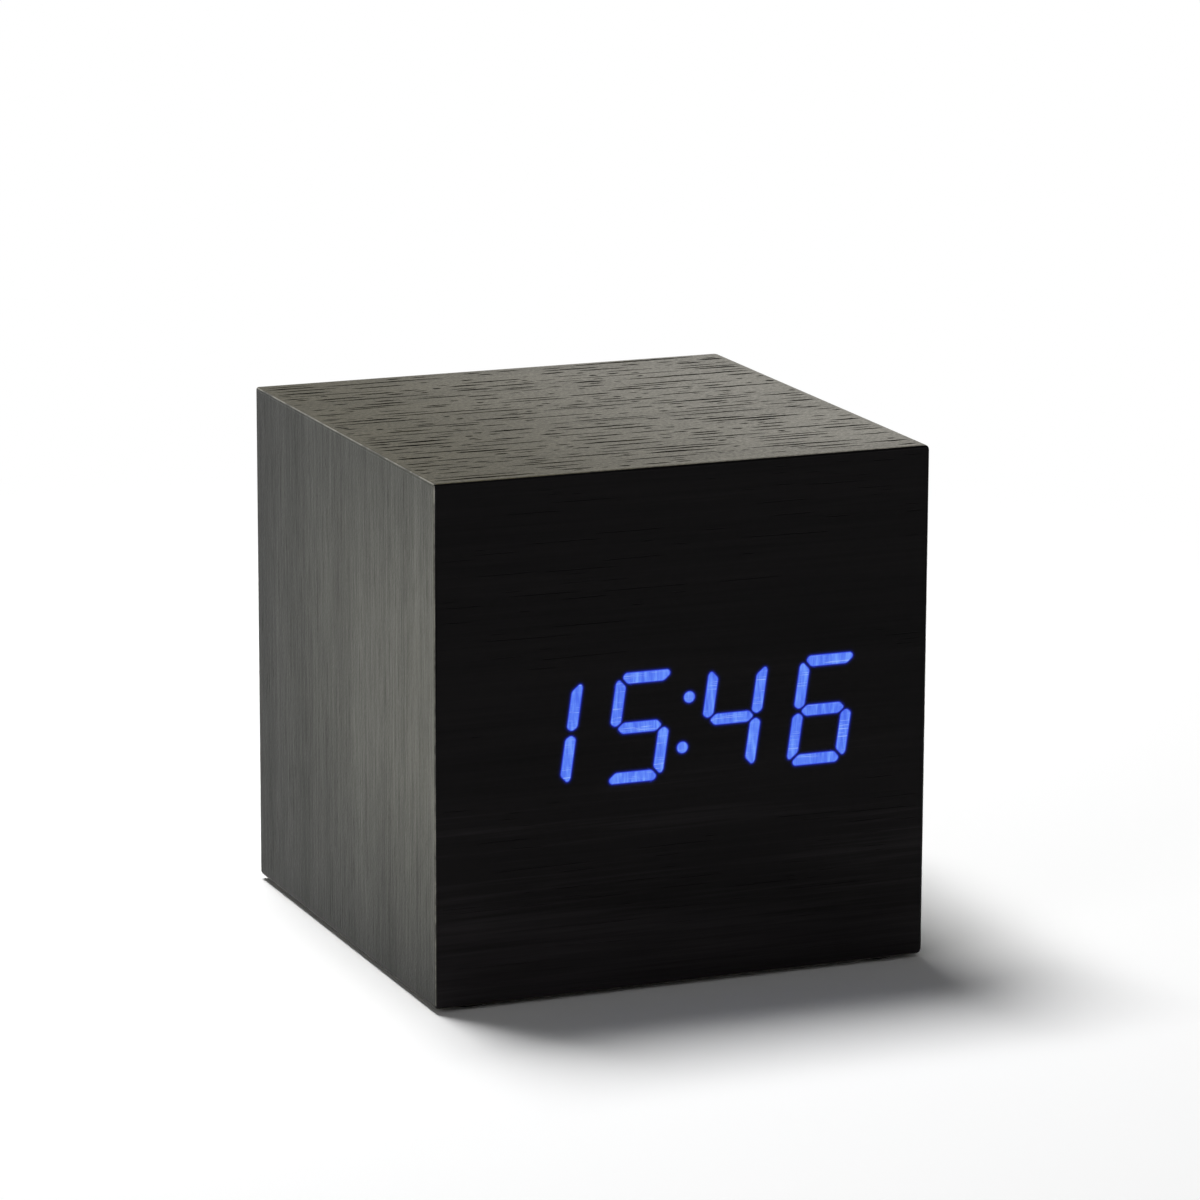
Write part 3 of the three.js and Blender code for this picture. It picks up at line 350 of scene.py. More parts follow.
# Pale sanded wood together with a painted highlight on the rounded edge.
worn_edge_and_highlight_finish = make_finish(
    "sanded_edge_with_painted_highlight", patterned, [("X", 4, 4, 3.0, 0.7)],
    [(0.42, "#4a4943"), (0.62, "#85837a")], {"IOR": 1.5, "Roughness": 0.5})
print("finishes:", pore_finish.name, worn_edge_and_highlight_finish.name)

# %% [markdown]
# The front is the thinnest veneer, sanded smooth and stained deep black, so that the digits
# behind it can shine through. Its black is painted a little lighter near the foot, painted light
# from the floor, and its lacquer is matt. Light creeps a fraction of a millimetre sideways in
# the wood, so each lit segment has a faint blue rim around it, which the mesh carries as a
# value named glow.

# %% Front veneer
def thin_black_veneer(add):
    streaks = grain(add, "X", 22, 0.45, 3.0, 0.6)
    tone = add("Mix", {0: 0.5, 2: streaks, 3: grain(add, "X", 60, 5)})
    place = add("SeparateXYZ", {0: add("TexCoord").outputs["Object"]})
    # Painted light from the floor: the black turns lighter towards the foot.
    foot = add("MapRange", {
        "From Min": 36 * MM, "From Max": 0, "To Max": 0.35, "Value": place.outputs["Z"]})
    tone = add("Math", {"operation": "ADD", 0: tone, 1: foot})
    colour = add("ValToRGB", {
        "stops": [(0.35, "#070607"), (0.68, "#131112"), (1.0, "#2a2729")], 0: tone})
    glow = add("Attribute", {"attribute_name": "glow"}).outputs["Fac"]
    glow = add("ValToRGB", {"stops": [(0.0, "#000000"), (1.0, "#1f2fb0")], 0: glow})
    relief = add("Bump", {"Distance": 0.008 * MM, "Height": streaks})
    return add("BsdfPrincipled", {
        "IOR": 1.5, "Roughness": 0.5, "Specular IOR Level": 0.08, "Emission Strength": 1.0,
        "Base Color": colour, "Normal": relief, "Emission Color": glow})


front_finish = make_finish("black_stained_thin_veneer", thin_black_veneer)
print("front:", front_finish.name)

# %% [markdown]
# Pieces are drawn with bmesh in millimetres. make_piece turns the drawing into an object in
# metres, gives it its finishes, says which body it moves with and hides the CAD node that it
# stands for. The other helpers let Blender apply modifiers, cut one drawing with others, and
# draw a box.

# %% From a drawing to a piece
def make_piece(name, drawing, finishes, node, body="case", smooth_below=35,
               keep_flat=False):
    mesh = bpy.data.meshes.new(name)
    bmesh.ops.scale(drawing, vec=(MM, MM, MM), verts=drawing.verts)
    drawing.to_mesh(mesh)
    drawing.free()
    for finish in finishes:
        mesh.materials.append(finish)
    piece = add_object(name, mesh)
    if not keep_flat:
        mesh.shade_smooth()
        mesh.set_sharp_from_angle(angle=math.radians(smooth_below))
        normals = piece.modifiers.new("flat_faces_lead", "WEIGHTED_NORMAL")
        normals.keep_sharp = True
    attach(piece, body)
    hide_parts(node)


def evaluated(data, modifiers=()):
    """Draws what Blender makes of a mesh with modifiers, or of a curve."""
    working = add_object("working", data)
    for kind, settings in modifiers:
        modifier = working.modifiers.new(kind, kind)
        for key, value in settings.items():
            setattr(modifier, key, value)
    drawing = bmesh.new()
    depsgraph = bpy.context.evaluated_depsgraph_get()
    drawing.from_mesh(working.evaluated_get(depsgraph).to_mesh())
    bpy.data.objects.remove(working)
    return drawing


def mesh_of(drawing):
    mesh = bpy.data.meshes.new("working_mesh")
    drawing.to_mesh(mesh)
    drawing.free()
    return mesh


def bevelled(drawing, **settings):
    return evaluated(mesh_of(drawing), [("BEVEL", settings)])


def cut_from(drawing, cutters, operation="DIFFERENCE"):
    for cutter in cutters:
        tool = add_object("cutter", mesh_of(cutter))
        settings = {"operation": operation, "object": tool, "solver": "EXACT"}
        drawing = evaluated(mesh_of(drawing), [("BOOLEAN", settings)])
        bpy.data.objects.remove(tool)
    return drawing


def box_drawing(low, high):
    drawing = bmesh.new()
    middle = (Vector(low) + Vector(high)) / 2
    size = Vector(high) - Vector(low)
    bmesh.ops.create_cube(
        drawing, size=1, matrix=Matrix.Translation(middle) @ Matrix.Diagonal((*size, 1)))
    return drawing


example = cut_from(box_drawing((0, 0, 0), (2, 2, 2)), [box_drawing((1, 1, 1), (3, 3, 3))])
print("a box with a corner cut out has", len(example.faces), "faces")
example.free()

# %% [markdown]
# Outlines are lists of points, made of arcs. They serve for openings, plates and lit dots, and
# the number of points on an arc says how smooth it is.

# %% Outlines
def arc(x, z, radius, start, end, steps):
    turns = [math.radians(start + (end - start) * i / steps) for i in range(steps + 1)]
    return [(x + radius * math.cos(a), z + radius * math.sin(a)) for a in turns]


def circle(x, z, radius, sides=40):
    turns = [2 * math.pi * i / sides for i in range(sides)]
    return [(x + radius * math.cos(a), z + radius * math.sin(a)) for a in turns]


def rounded_outline(x_low, x_high, z_low, z_high, radius, steps=10):
    left, right, low, high = x_low + radius, x_high - radius, z_low + radius, z_high - radius
    points = []
    for i, (x, z) in enumerate(((right, high), (left, high), (left, low), (right, low))):
        points += arc(x, z, radius, 90 * i, 90 * i + 90, steps)
    return points


print("a rounded rectangle has", len(rounded_outline(0, 4, 0, 3, 1)), "points")

# %% [markdown]
# The veneers are cut from one block, so the rounding runs on from sheet to sheet as it does on
# a sanded case. Six sheets rounded one by one would leave steps between them. A bevel weight on
# each edge says how far it is rounded: the edges at the front left are crisp, and the ones at
# the right and below are worn rounder.

# %% The sanded block
EDGE_RADII = {
    ("left", "top"): 0.34, ("front", "top"): 0.34, ("front", "left"): 0.34,
    ("back", "top"): 0.34, ("right", "top"): 0.85, ("front", "right"): 0.4,
    ("back", "right"): 1.6, ("back", "left"): 0.5, ("bottom", "left"): 0.5,
    ("bottom", "front"): 0.45, ("bottom", "right"): 0.85, ("bottom", "back"): 0.9,
}
WIDEST_RADIUS = max(EDGE_RADII.values())


def edge_radius(sides):
    return next(radius for pair, radius in EDGE_RADII.items() if set(pair) == set(sides))


def side_names(direction, reach=0.5):
    return {pair[value > 0] for pair, value in zip(SIDES, direction) if abs(value) > reach}


def sanded_block():
    block = box_drawing(case_low, case_high)
    weights = block.edges.layers.float.new("bevel_weight_edge")
    middle = (case_low + case_high) / 2
    half = (case_high - case_low) / 2
    for edge in block.edges:
        centre = (edge.verts[0].co + edge.verts[1].co) / 2 - middle
        sides = side_names([centre[i] / half[i] for i in range(3)])
        edge[weights] = edge_radius(sides) / WIDEST_RADIUS
    return bevelled(
        block, limit_method="WEIGHT", width=WIDEST_RADIUS, segments=6, offset_type="OFFSET")


block = sanded_block()
print("sanded block:", len(block.faces), "faces")

# %% [markdown]
# Each sheet is the part of the block between the planes of its CAD node. SHEETS gives the two
# directions of its outer face, whose cross product looks outwards.

# %% One sheet of veneer
SHEETS = {
    "top": ((1, 0, 0), (0, 1, 0)), "bottom": ((0, 1, 0), (1, 0, 0)),
    "front": ((1, 0, 0), (0, 0, 1)), "back": ((0, 0, 1), (1, 0, 0)),
    "left": ((0, 0, 1), (0, 1, 0)), "right": ((0, 1, 0), (0, 0, 1)),
}


def sheet_from_block(node):
    low, high = corners_of(node)
    sheet = block.copy()
    for axis in range(3):
        for limit, outward in ((low[axis], -1), (high[axis], 1)):
            if abs(limit - (case_low, case_high)[outward > 0][axis]) < 1e-3:
                continue
            normal = Vector((0, 0, 0))
            normal[axis] = outward
            place = Vector(low)
            place[axis] = limit
            cut = bmesh.ops.bisect_plane(
                sheet, geom=sheet.verts[:] + sheet.edges[:] + sheet.faces[:], dist=1e-5,
                plane_co=place, plane_no=normal, clear_outer=True)
            edges = [e for e in cut["geom_cut"] if isinstance(e, bmesh.types.BMEdge)]
            bmesh.ops.contextual_create(sheet, geom=edges)
    return sheet


def edge_loops(edges):
    """Closed loops of vertices from a set of edges, in order."""
    neighbours = {}
    for edge in edges:
        for a, b in (edge.verts, reversed(edge.verts)):
            neighbours.setdefault(a, []).append(b)
    loops = []
    while neighbours:
        first = min(neighbours, key=lambda p: tuple(round(v, 4) for v in p.co))
        loop, here, before = [], first, None
        while here is not None:
            loop.append(here)
            onward = [p for p in neighbours.pop(here) if p is not before and p in neighbours]
            before, here = here, onward[0] if onward else None
        loops.append(loop)
    return loops


print("sheets to make:", list(SHEETS))

# %% [markdown]
# An open pore is a tiny vessel of the tree, cut lengthwise: a narrow leaf shape with a ragged
# edge. A bump texture could paint it, but a real groove also catches the light at low angles.

# %% The shape of a pore
STEP_ALONG, MOST_LEAN, WANDER, BLUNTNESS, RAGGED = 1.6, 0.012, 0.15, 0.45, (0.65, 1.15)


def leaf_pore(rng, length, width):
    """Outline and middle line of one pore, along +u from its own zero."""
    steps = max(2, round(length / STEP_ALONG))
    upper, lower, middle = [], [], []
    lean = rng.uniform(-MOST_LEAN, MOST_LEAN) * length
    for i in range(1, steps + 1):
        share = i / (steps + 1)
        half = width / 2 * math.sin(math.pi * share) ** BLUNTNESS * rng.uniform(*RAGGED)
        centre = lean * share + rng.uniform(-WANDER, WANDER) * width
        upper.append((share * length, centre + half))
        lower.append((share * length, centre - half))
        middle.append((share * length, centre))
    outline = [(0, 0)] + lower + [(length, lean)] + upper[::-1]
    return outline, middle


print("a 10 mm pore has", len(leaf_pore(random.Random(1), 10, 0.5)[0]), "points round it")

# %% [markdown]
# The outer face of a sheet is drawn again with the pores in it, and the line along the middle of
# each is pushed down. A Delaunay triangulation joins them all to the edge of the sheet, so it
# stays one closed mesh. Booleans would do it too, but not for hundreds of grooves.

# %% Grooves in the outer face
def open_outer_face(sheet, outward, plane, u):
    """Takes the flat outer face away, and returns the loops of its rim, the outer one first."""
    flat = [f for f in sheet.faces if all(abs(p.co.dot(outward) - plane) < 1e-4 for p in f.verts)]
    inside = set(flat)
    rim = [e for e in dict.fromkeys(e for f in flat for e in f.edges)
           if sum(f in inside for f in e.link_faces) == 1]
    loops = sorted(edge_loops(rim), key=lambda loop: -max(p.co.dot(u) for p in loop))
    for face in sheet.faces:
        face.smooth = True
    for face in flat:
        sheet.faces.remove(face)
    for edge in [e for e in sheet.edges if not e.link_faces]:
        sheet.edges.remove(edge)
    for vert in [p for p in sheet.verts if not p.link_edges]:
        sheet.verts.remove(vert)
    return loops


def redraw_outer_face(sheet, side, pores, depth, loose_points=()):
    u, v = (Vector(axis) for axis in SHEETS[side])
    outward = u.cross(v)
    plane = max(vert.co.dot(outward) for vert in sheet.verts)
    loops = open_outer_face(sheet, outward, plane, u)
    points, kept, edges, faces, low_points = [], [], [], [], set()
    for loop in loops:
        area = sum(loop[i - 1].co.dot(u) * p.co.dot(v) - p.co.dot(u) * loop[i - 1].co.dot(v)
                   for i, p in enumerate(loop))
        if area < 0:
            loop.reverse()
        faces.append(list(range(len(points), len(points) + len(loop))))
        points += [(vert.co.dot(u), vert.co.dot(v)) for vert in loop]
        kept += loop
    for outline, middle in pores:
        start = len(points)
        faces.append(list(range(start, start + len(outline))))
        points += outline
        chain = [start] + list(range(len(points), len(points) + len(middle)))
        low_points.update(chain[1:])
        points += middle
        chain.append(start + len(middle) + 1)
        edges += list(zip(chain, chain[1:]))
    points += loose_points
    flat_points, _, triangles, origins, _, face_origins = delaunay_2d_cdt(
        [Vector(p) for p in points], edges, faces, 0, 1e-6)
    verts = []
    for place, origin in zip(flat_points, origins):
        rim_vert = next((kept[i] for i in origin if i < len(kept)), None)
        drop = depth if any(i in low_points for i in origin) else 0
        verts.append(rim_vert or sheet.verts.new(
            u * place[0] + v * place[1] + outward * (plane - drop)))
    holes = len(loops)
    for triangle, origin in zip(triangles, face_origins):
        if 0 not in origin or any(0 < i < holes for i in origin):
            continue
        face = sheet.faces.new([verts[i] for i in triangle])
        face.smooth = False
        face.material_index = 1 if any(i >= holes for i in origin) else 0


print("the outer face is redrawn with its rim, its pores and loose points")

# %% [markdown]
# Where the pores lie is drawn by chance, from a fixed seed so that every run gives the same
# wood. They come in groups, as in real wood, where a plain scatter would look like rain. A pore
# that would pass the end of the face stops there, and one that would touch another or an
# opening is left out.

# %% Where the pores lie
MOST_IN_GROUP, LIKING_FOR_SHORT, ROOM_BETWEEN = 7, 1.8, 0.1


def scatter_pores(seed, area, groups, lengths, widths, spread, keep_out=()):
    rng = random.Random(seed)
    (low_u, high_u), (low_v, high_v) = area
    taken, pores = list(keep_out), []
    for _ in range(groups):
        group_u, group_v = rng.uniform(low_u, high_u), rng.uniform(low_v, high_v)
        for _ in range(rng.randint(1, MOST_IN_GROUP)):
            length = lengths[0] + (lengths[1] - lengths[0]) * rng.random() ** LIKING_FOR_SHORT
            width = rng.uniform(*widths) * (0.7 + 0.3 * min(1, length / 5))
            start = group_u + rng.gauss(0, spread[0]) - length / 2
            across = group_v + rng.gauss(0, spread[1])
            length += min(0, start - low_u) + min(0, high_u - start - length)
            start = max(start, low_u)
            if length < lengths[0]:
                continue
            outline, middle = leaf_pore(rng, length, width)
            reach = MOST_LEAN * length + 0.65 * width
            box = (start, start + length, across - reach, across + reach)
            if box[2] < low_v or box[3] > high_v:
                continue
            wide = [v + ROOM_BETWEEN * (-1, 1)[i % 2] for i, v in enumerate(box)]
            if any(wide[0] < b[1] and b[0] < wide[1] and wide[2] < b[3] and b[2] < wide[3]
                   for b in taken):
                continue
            taken.append(box)
            pores.append(tuple([(start + u, across + v) for u, v in line]
                               for line in (outline, middle)))
    return pores


example = scatter_pores(1, ((0, 60), (0, 60)), 100, (1.5, 15), (0.3, 0.6), (6, 2))
print("example:", len(example), "pores")

# %% [markdown]
# The digits have seven bars each, drawn upright as six-cornered shapes and then slanted by 8
# degrees. Their outlines are written again here, within a few tenths of a millimetre of the CAD
# model's, because the windows in the front veneer and the lit bars must meet without a gap.
# Light rounds a corner that shines through wood, so each corner is cut twice.

# %% Shapes of the lit segments
DIGIT_HEIGHT, DIGIT_WIDTH, DIGIT_PITCH = 14.41, 8.24, 12.74
SEGMENT_WIDTH, SEGMENT_GAP, CORNER_CUT = 1.45, 0.34, 0.4
FIRST_SOFTENING, SECOND_SOFTENING, DISPLAY_SHIFT = 0.18, 0.07, (-0.13, 0, 0.25)
DIGIT_SLANT = math.tan(math.radians(8))
DOT_RADIUS, DOT_RISE = 0.76, 3.27
LIT = {"hour_tens_light": "bc", "hour_units_light": "acdfg",
       "minute_tens_light": "bcfg", "minute_units_light": "acdefg"}


def middle_of(node):
    return [(a + b) / 2 for a, b in zip(*corners_of(node))]


def soften(points, radius):
    """Replaces each corner by two points, one along each of its edges."""
    result = []
    for i, point in enumerate(points):
        here = Vector(point)
        for other in (Vector(points[i - 1]), Vector(points[(i + 1) % len(points)])):
            way = other - here
            result.append(tuple(here + way * min(0.4, radius / way.length)))
    return result


def segment_outline(letter, digit_x):
    side, top, half, cut = DIGIT_WIDTH / 2, DIGIT_HEIGHT / 2, SEGMENT_WIDTH / 2, CORNER_CUT
    inner = side - SEGMENT_WIDTH - SEGMENT_GAP / 2
    outer = side - 2 * cut - SEGMENT_GAP
    tip = side - half - SEGMENT_GAP
    upright = [(side, half), (side, top - 3 * cut), (side - cut, top - 2 * cut),
               (side - SEGMENT_WIDTH, top - SEGMENT_WIDTH - SEGMENT_GAP),
               (side - SEGMENT_WIDTH, half), (side - half, SEGMENT_GAP * math.sqrt(0.5))]
    level = [(inner, top - SEGMENT_WIDTH), (side - 2 * cut, top - 1.5 * cut), (outer, top),
             (-outer, top), (-(side - 2 * cut), top - 1.5 * cut), (-inner, top - SEGMENT_WIDTH)]
    middle = [(tip, 0), (tip - half, half), (half - tip, half),
              (-tip, 0), (half - tip, -half), (tip - half, -half)]
    points = level if letter in "ad" else middle if letter == "g" else upright
    across = -1 if letter in "ef" else 1
    up = -1 if letter in "cde" else 1
    points = [(x * across, z * up) for x, z in points]
    if across * up < 0:
        points.reverse()
    points = soften(soften(points, FIRST_SOFTENING), SECOND_SOFTENING)
    return [(display_x + digit_x + x + z * DIGIT_SLANT, display_z + z) for x, z in points]


display_x, _, display_z = (a + b for a, b in zip(middle_of("colon_light"), DISPLAY_SHIFT))
lit_outlines = {
    name: [segment_outline(letter, (i - 1.5) * DIGIT_PITCH) for letter in letters]
    for i, (name, letters) in enumerate(LIT.items())}
lit_outlines["colon_light"] = [
    circle(display_x + rise * DIGIT_SLANT, display_z + rise, DOT_RADIUS)
    for rise in (DOT_RISE, -DOT_RISE)]
all_outlines = [o for outlines in lit_outlines.values() for o in outlines]
print("lit shapes:", len(all_outlines))

# %% [markdown]
# An outline on the front becomes a solid between two depths. The same solids cut the windows
# and make the lit bars. An outline can also grow, which gives a window its room.

# %% Solids with an outline on the front or back
def front_solid(outline, near, far):
    solid = bmesh.new()
    ends = [[solid.verts.new((x, depth, z)) for x, z in outline] for depth in (near, far)]
    solid.faces.new(ends[0])
    solid.faces.new(ends[1][::-1])
    for i in range(len(outline)):
        j = (i + 1) % len(outline)
        solid.faces.new((ends[0][j], ends[0][i], ends[1][i], ends[1][j]))
    bmesh.ops.recalc_face_normals(solid, faces=solid.faces[:])
    return solid


def grown(outline, distance):
    """Moves every point of an outline outwards, along the mean of its two edges' normals."""
    points = [Vector(p) for p in outline]
    turn = sum(points[i - 1].x * p.y - p.x * points[i - 1].y for i, p in enumerate(points))
    sign = 1 if turn > 0 else -1
    result = []
    for i, point in enumerate(points):
        before = (point - points[i - 1]).normalized()
        after = (points[(i + 1) % len(points)] - point).normalized()
        normals = [Vector((way.y, -way.x)) * sign for way in (before, after)]
        share = 1 + normals[0].dot(normals[1])
        result.append(tuple(point + (normals[0] + normals[1]) * distance / share))
    return result


print("a 2 mm square, grown by 1 mm, starts at", grown([(0, 0), (2, 0), (2, 2), (0, 2)], 1)[0])

# %% [markdown]
# How far a point of the front lies from the nearest lit shape gives its glow. The glow is a
# value on the mesh's points, so it needs points where it fades: loose ones, in rings round each
# shape, let the triangles carry that soft falloff.

# %% Glow round the lit shapes
FAR_AWAY, GLOW_RINGS, RING_STEP, LEAST_ROOM = 20, (0.12, 0.28, 0.5, 0.85), 0.5, 0.1


def distance_to_lit(point):
    best = math.inf
    here = Vector(point)
    for outline in all_outlines:
        if max(abs(outline[0][0] - here.x), abs(outline[0][1] - here.y)) > FAR_AWAY:
            continue
        for i, end in enumerate(outline):
            start = Vector(outline[i - 1])
            way = Vector(end) - start
            share = max(0.0, min(1.0, (here - start).dot(way) / way.length_squared))
            best = min(best, (start + way * share - here).length)
    return best


def is_inside(point, outline):
    x, z = point
    crossings = 0
    for i, (x1, z1) in enumerate(outline):
        x0, z0 = outline[i - 1]
        if (z0 > z) != (z1 > z) and x < x0 + (z - z0) * (x1 - x0) / (z1 - z0):
            crossings += 1
    return crossings % 2 == 1


def ring_points():
    points = []
    for loop in [grown(outline, ring) for outline in all_outlines for ring in GLOW_RINGS]:
        for i, end in enumerate(loop):
            start = Vector(loop[i - 1])
            way = Vector(end) - start
            count = max(1, round(way.length / RING_STEP))
            points += [tuple(start + way * j / count) for j in range(count)]
    return [p for p in points if not any(is_inside(p, outline) for outline in all_outlines)
            and distance_to_lit(p) > LEAST_ROOM]


glow_points = ring_points()
print("points round the lit shapes:", len(glow_points))

# %% [markdown]
# Now the six sheets. The openings come first, as on the bench: windows for the lit shapes in
# the front, the pocket for the rear panel in the back and the battery bay in the bottom.

# %% Sheets with their openings
WINDOW_ROOM, POCKET_ROOM, POCKET_CORNER = 0.01, 0.3, 2.3
BAY_X, BAY_Y = 26.1, 17.85
panel_low, panel_high = corners_of("rear_panel")


def plain_sheets():
    sheets = {side: sheet_from_block(f"{side}_veneer") for side in SHEETS}
    pocket = rounded_outline(
        panel_low.x - POCKET_ROOM, panel_high.x + POCKET_ROOM,
        panel_low.z - POCKET_ROOM, panel_high.z + POCKET_ROOM, POCKET_CORNER, 8)
    windows = [grown(outline, WINDOW_ROOM) for outline in all_outlines]
    for side, outlines in (("front", windows), ("back", [pocket])):
        low, high = corners_of(f"{side}_veneer")
        cutters = [front_solid(outline, low.y - 1, high.y + 1) for outline in outlines]
        sheets[side] = cut_from(sheets[side], cutters)
    bay_foot = corners_of("battery_case")[0].z
    bay = box_drawing((-BAY_X, -BAY_Y, bay_foot - 1), (BAY_X, BAY_Y, bay_foot + 2))
    sheets["bottom"] = cut_from(sheets["bottom"], [bay])
    return sheets


sheets = plain_sheets()
print({side: len(sheet.faces) for side, sheet in sheets.items()})

# %% [markdown]
# After that the pores are drawn round the openings. On the top they are coarse, 1 to 21 mm long
# and up to 0.8 mm wide. On the other sides the grain is finer, and its grooves are shallower.

# %% Pores on the six sheets
PORES = {  # seed, groups, lengths, widths, spread of a group, depth
    "top": (11, 420, (1.2, 21), (0.32, 0.76), (8, 1.5), 0.16),
    "front": (23, 60, (2, 14), (0.12, 0.2), (7, 2), 0.03),
    "left": (37, 70, (2, 12), (0.10, 0.16), (8, 2), 0.02),
    "right": (41, 70, (2, 12), (0.10, 0.16), (8, 2), 0.02),
    "back": (53, 90, (2, 14), (0.16, 0.34), (8, 2), 0.07),
    "bottom": (67, 70, (2, 14), (0.2, 0.4), (7, 2), 0.07),
}
KEEP_OUT = {
    "front": [(display_x - 26, display_x + 26, display_z - 8.5, display_z + 8.5)],
    "back": [(panel_low.x - 1, panel_high.x + 1, panel_low.z - 1, panel_high.z + 1)],
    "bottom": [(-27, 27, -19, 19)],
}
GRAIN_IS_SECOND = ("right", "back", "bottom")  # their grain follows the second of SHEETS' axes
RIM_ROOM = 0.12


def whole_area(side):
    """The flat part of a face, inside the rounding of its four edges."""
    ends = []
    for axis in SHEETS[side]:
        i = axis.index(1)
        low_radius, high_radius = (edge_radius((side, other)) for other in SIDES[i])
        ends.append((case_low[i] + low_radius + RIM_ROOM, case_high[i] - high_radius - RIM_ROOM))
    return ends


def turned_pores(pores):
    return [([(v, u) for u, v in outline][::-1], [(v, u) for u, v in middle])
            for outline, middle in pores]


for side, (seed, groups, lengths, widths, spread, depth) in PORES.items():
    area = whole_area(side)[::-1 if side in GRAIN_IS_SECOND else 1]
    pores = scatter_pores(seed, area, groups, lengths, widths, spread, KEEP_OUT.get(side, ()))
    if side in GRAIN_IS_SECOND:
        pores = turned_pores(pores)
    redraw_outer_face(sheets[side], side, pores, depth, glow_points if side == "front" else ())
    print(side, len(pores), "pores,", len(sheets[side].faces), "faces")

# %% [markdown]
# A sheet's rim shows on the neighbouring sides too, so each face of it takes the finish of the
# side that it looks to. The middle of the two crisp edges that meet the front corner on the
# left is painted pale, sanded wood together with a painted highlight, which draws the thin light
# line there.

# %% Finishes on the sheets
FINISH_OF_SIDE = {"front": front_finish, "left": veneer_upright, "right": veneer_upright}
RIM_FINISHES = (front_finish, veneer_upright, veneer_level)
FIRST_RIM = 3
PALE_EDGES = ({"left", "top"}, {"front", "left"})
GLOW_FADE, GLOW_REACH, DISPLAY_HALF = 0.08, 0.8, 28


def paint_rim(sheet, side):
    sheet.normal_update()
    for face in (f for f in sheet.faces if f.smooth):
        strongest = max(abs(value) for value in face.normal)
        looks_to = min(side_names(face.normal, strongest - 1e-6))
        finish = FINISH_OF_SIDE.get(looks_to, veneer_level)
        face.material_index = 0 if looks_to == side else FIRST_RIM + RIM_FINISHES.index(finish)
        # Pale sanded wood with a painted highlight, on these two edges only.
        if side_names(face.normal, 0.6) in PALE_EDGES:
            face.material_index = FIRST_RIM - 1


def give_glow(sheet):
    glow = sheet.verts.layers.float.new("glow")
    for vert in sheet.verts:
        x, y, z = vert.co
        if abs(y - case_low.y) < 0.05 and abs(x - display_x) < DISPLAY_HALF:
            distance = max(0.0, distance_to_lit((x, z)) - WINDOW_ROOM)
            vert[glow] = math.exp(-distance / GLOW_FADE) if distance < GLOW_REACH else 0.0


give_glow(sheets["front"])
for side, sheet in sheets.items():
    paint_rim(sheet, side)
    base = FINISH_OF_SIDE.get(side, veneer_level)
    pore = base if side in FINISH_OF_SIDE else pore_finish
    make_piece(f"sheet_{side}", sheet, [base, pore, worn_edge_and_highlight_finish, *RIM_FINISHES],
               f"{side}_veneer",
               keep_flat=True)
print("sheets placed")

# %% [markdown]
# Behind the windows stand the lit bars: clear bars with a light diode behind each, so the last
# half millimetre before your eye glows evenly. What you see is wood lit from behind. It is a pale
# blue with finer and lighter streaks across it, and it turns a deeper blue towards its rim.

# %% Light through wood
DEEP_RIM = 0.13


def lit_wood(add):
    upright = grain(add, "Z", 3, 0.45, 2.0, 0.6)
    level = grain(add, "X", 6, 0.12, 2.0, 0.7)
    body = add("ValToRGB", {
        "stops": [(0.28, "#4669ea"), (0.5, "#5a81f6"), (0.72, "#73a0ff")], 0: upright})
    lines = add("ValToRGB", {"stops": [(0.62, 0.0), (0.69, 0.85)], 0: level})
    colour = add("Mix", {"data_type": "RGBA", 0: lines, 6: body, 7: "#a9c8ff"})
    rim = add("Attribute", {"attribute_name": "rim"}).outputs["Fac"]
    colour = add("Mix", {"data_type": "RGBA", 0: rim, 6: colour, 7: "#3346e6"})
    return add("BsdfPrincipled", {
        "Base Color": "#131214", "IOR": 1.5, "Roughness": 0.5, "Specular IOR Level": 0.08,
        "Emission Strength": 1.0, "Emission Color": colour})


def lit_drawing(node, outlines):
    low, high = corners_of(node)
    base_front = corners_of("front_veneer")[1].y
    lean = (high.z - low.z) * DIGIT_SLANT
    base = [(low.x, low.z), (high.x - lean, low.z), (high.x, high.z), (low.x + lean, high.z)]
    bars = [front_solid(outline, low.y, base_front + 0.2) for outline in outlines]
    drawing = cut_from(front_solid(base, base_front, high.y), bars, "UNION")
    rim = drawing.verts.layers.float.new("rim")
    fronts = [f for f in drawing.faces if all(abs(v.co.y - low.y) < 1e-4 for v in f.verts)]
    for value in (1.0, 0.0):
        for vert in (v for f in fronts for v in f.verts):
            vert[rim] = value
        if value:
            bmesh.ops.inset_individual(
                drawing, faces=fronts, thickness=DEEP_RIM, use_even_offset=True)
    return drawing


lit_finish = make_finish("blue_light_through_thin_veneer", lit_wood)
for name, outlines in lit_outlines.items():
    make_piece(f"lit_{name}", lit_drawing(name, outlines), [lit_finish], name,
               smooth_below=25)
print("lit pieces:", len(lit_outlines))

# %% [markdown]
# The rear panel, buttons, battery case and door are injection-moulded ABS, a common tough
# plastic. The mould's surface was eroded by sparks, which leaves an even fine grain of about
# 0.2 mm and a soft sheen. The buttons come out of a polished mould, so they are glossier. The
# block of wells behind the digits is white polycarbonate, which throws their light forward.
# Chips are cast in epoxy full of fine silica, which leaves them dark grey, matt and gritty. All
# these take the same two patterns, the mould's grain and faint clouds 6 mm wide.

# %% Moulded plastics
def moulded_plastic(name, dark, light, rough, grain_size, depth, ior=1.53):
    return make_finish(
        name, patterned, [("X", grain_size, grain_size), ("X", 6, 6)],
        [(0.35, dark), (0.65, light)], {"IOR": ior}, depth, (rough - 0.05, rough + 0.05), 0)


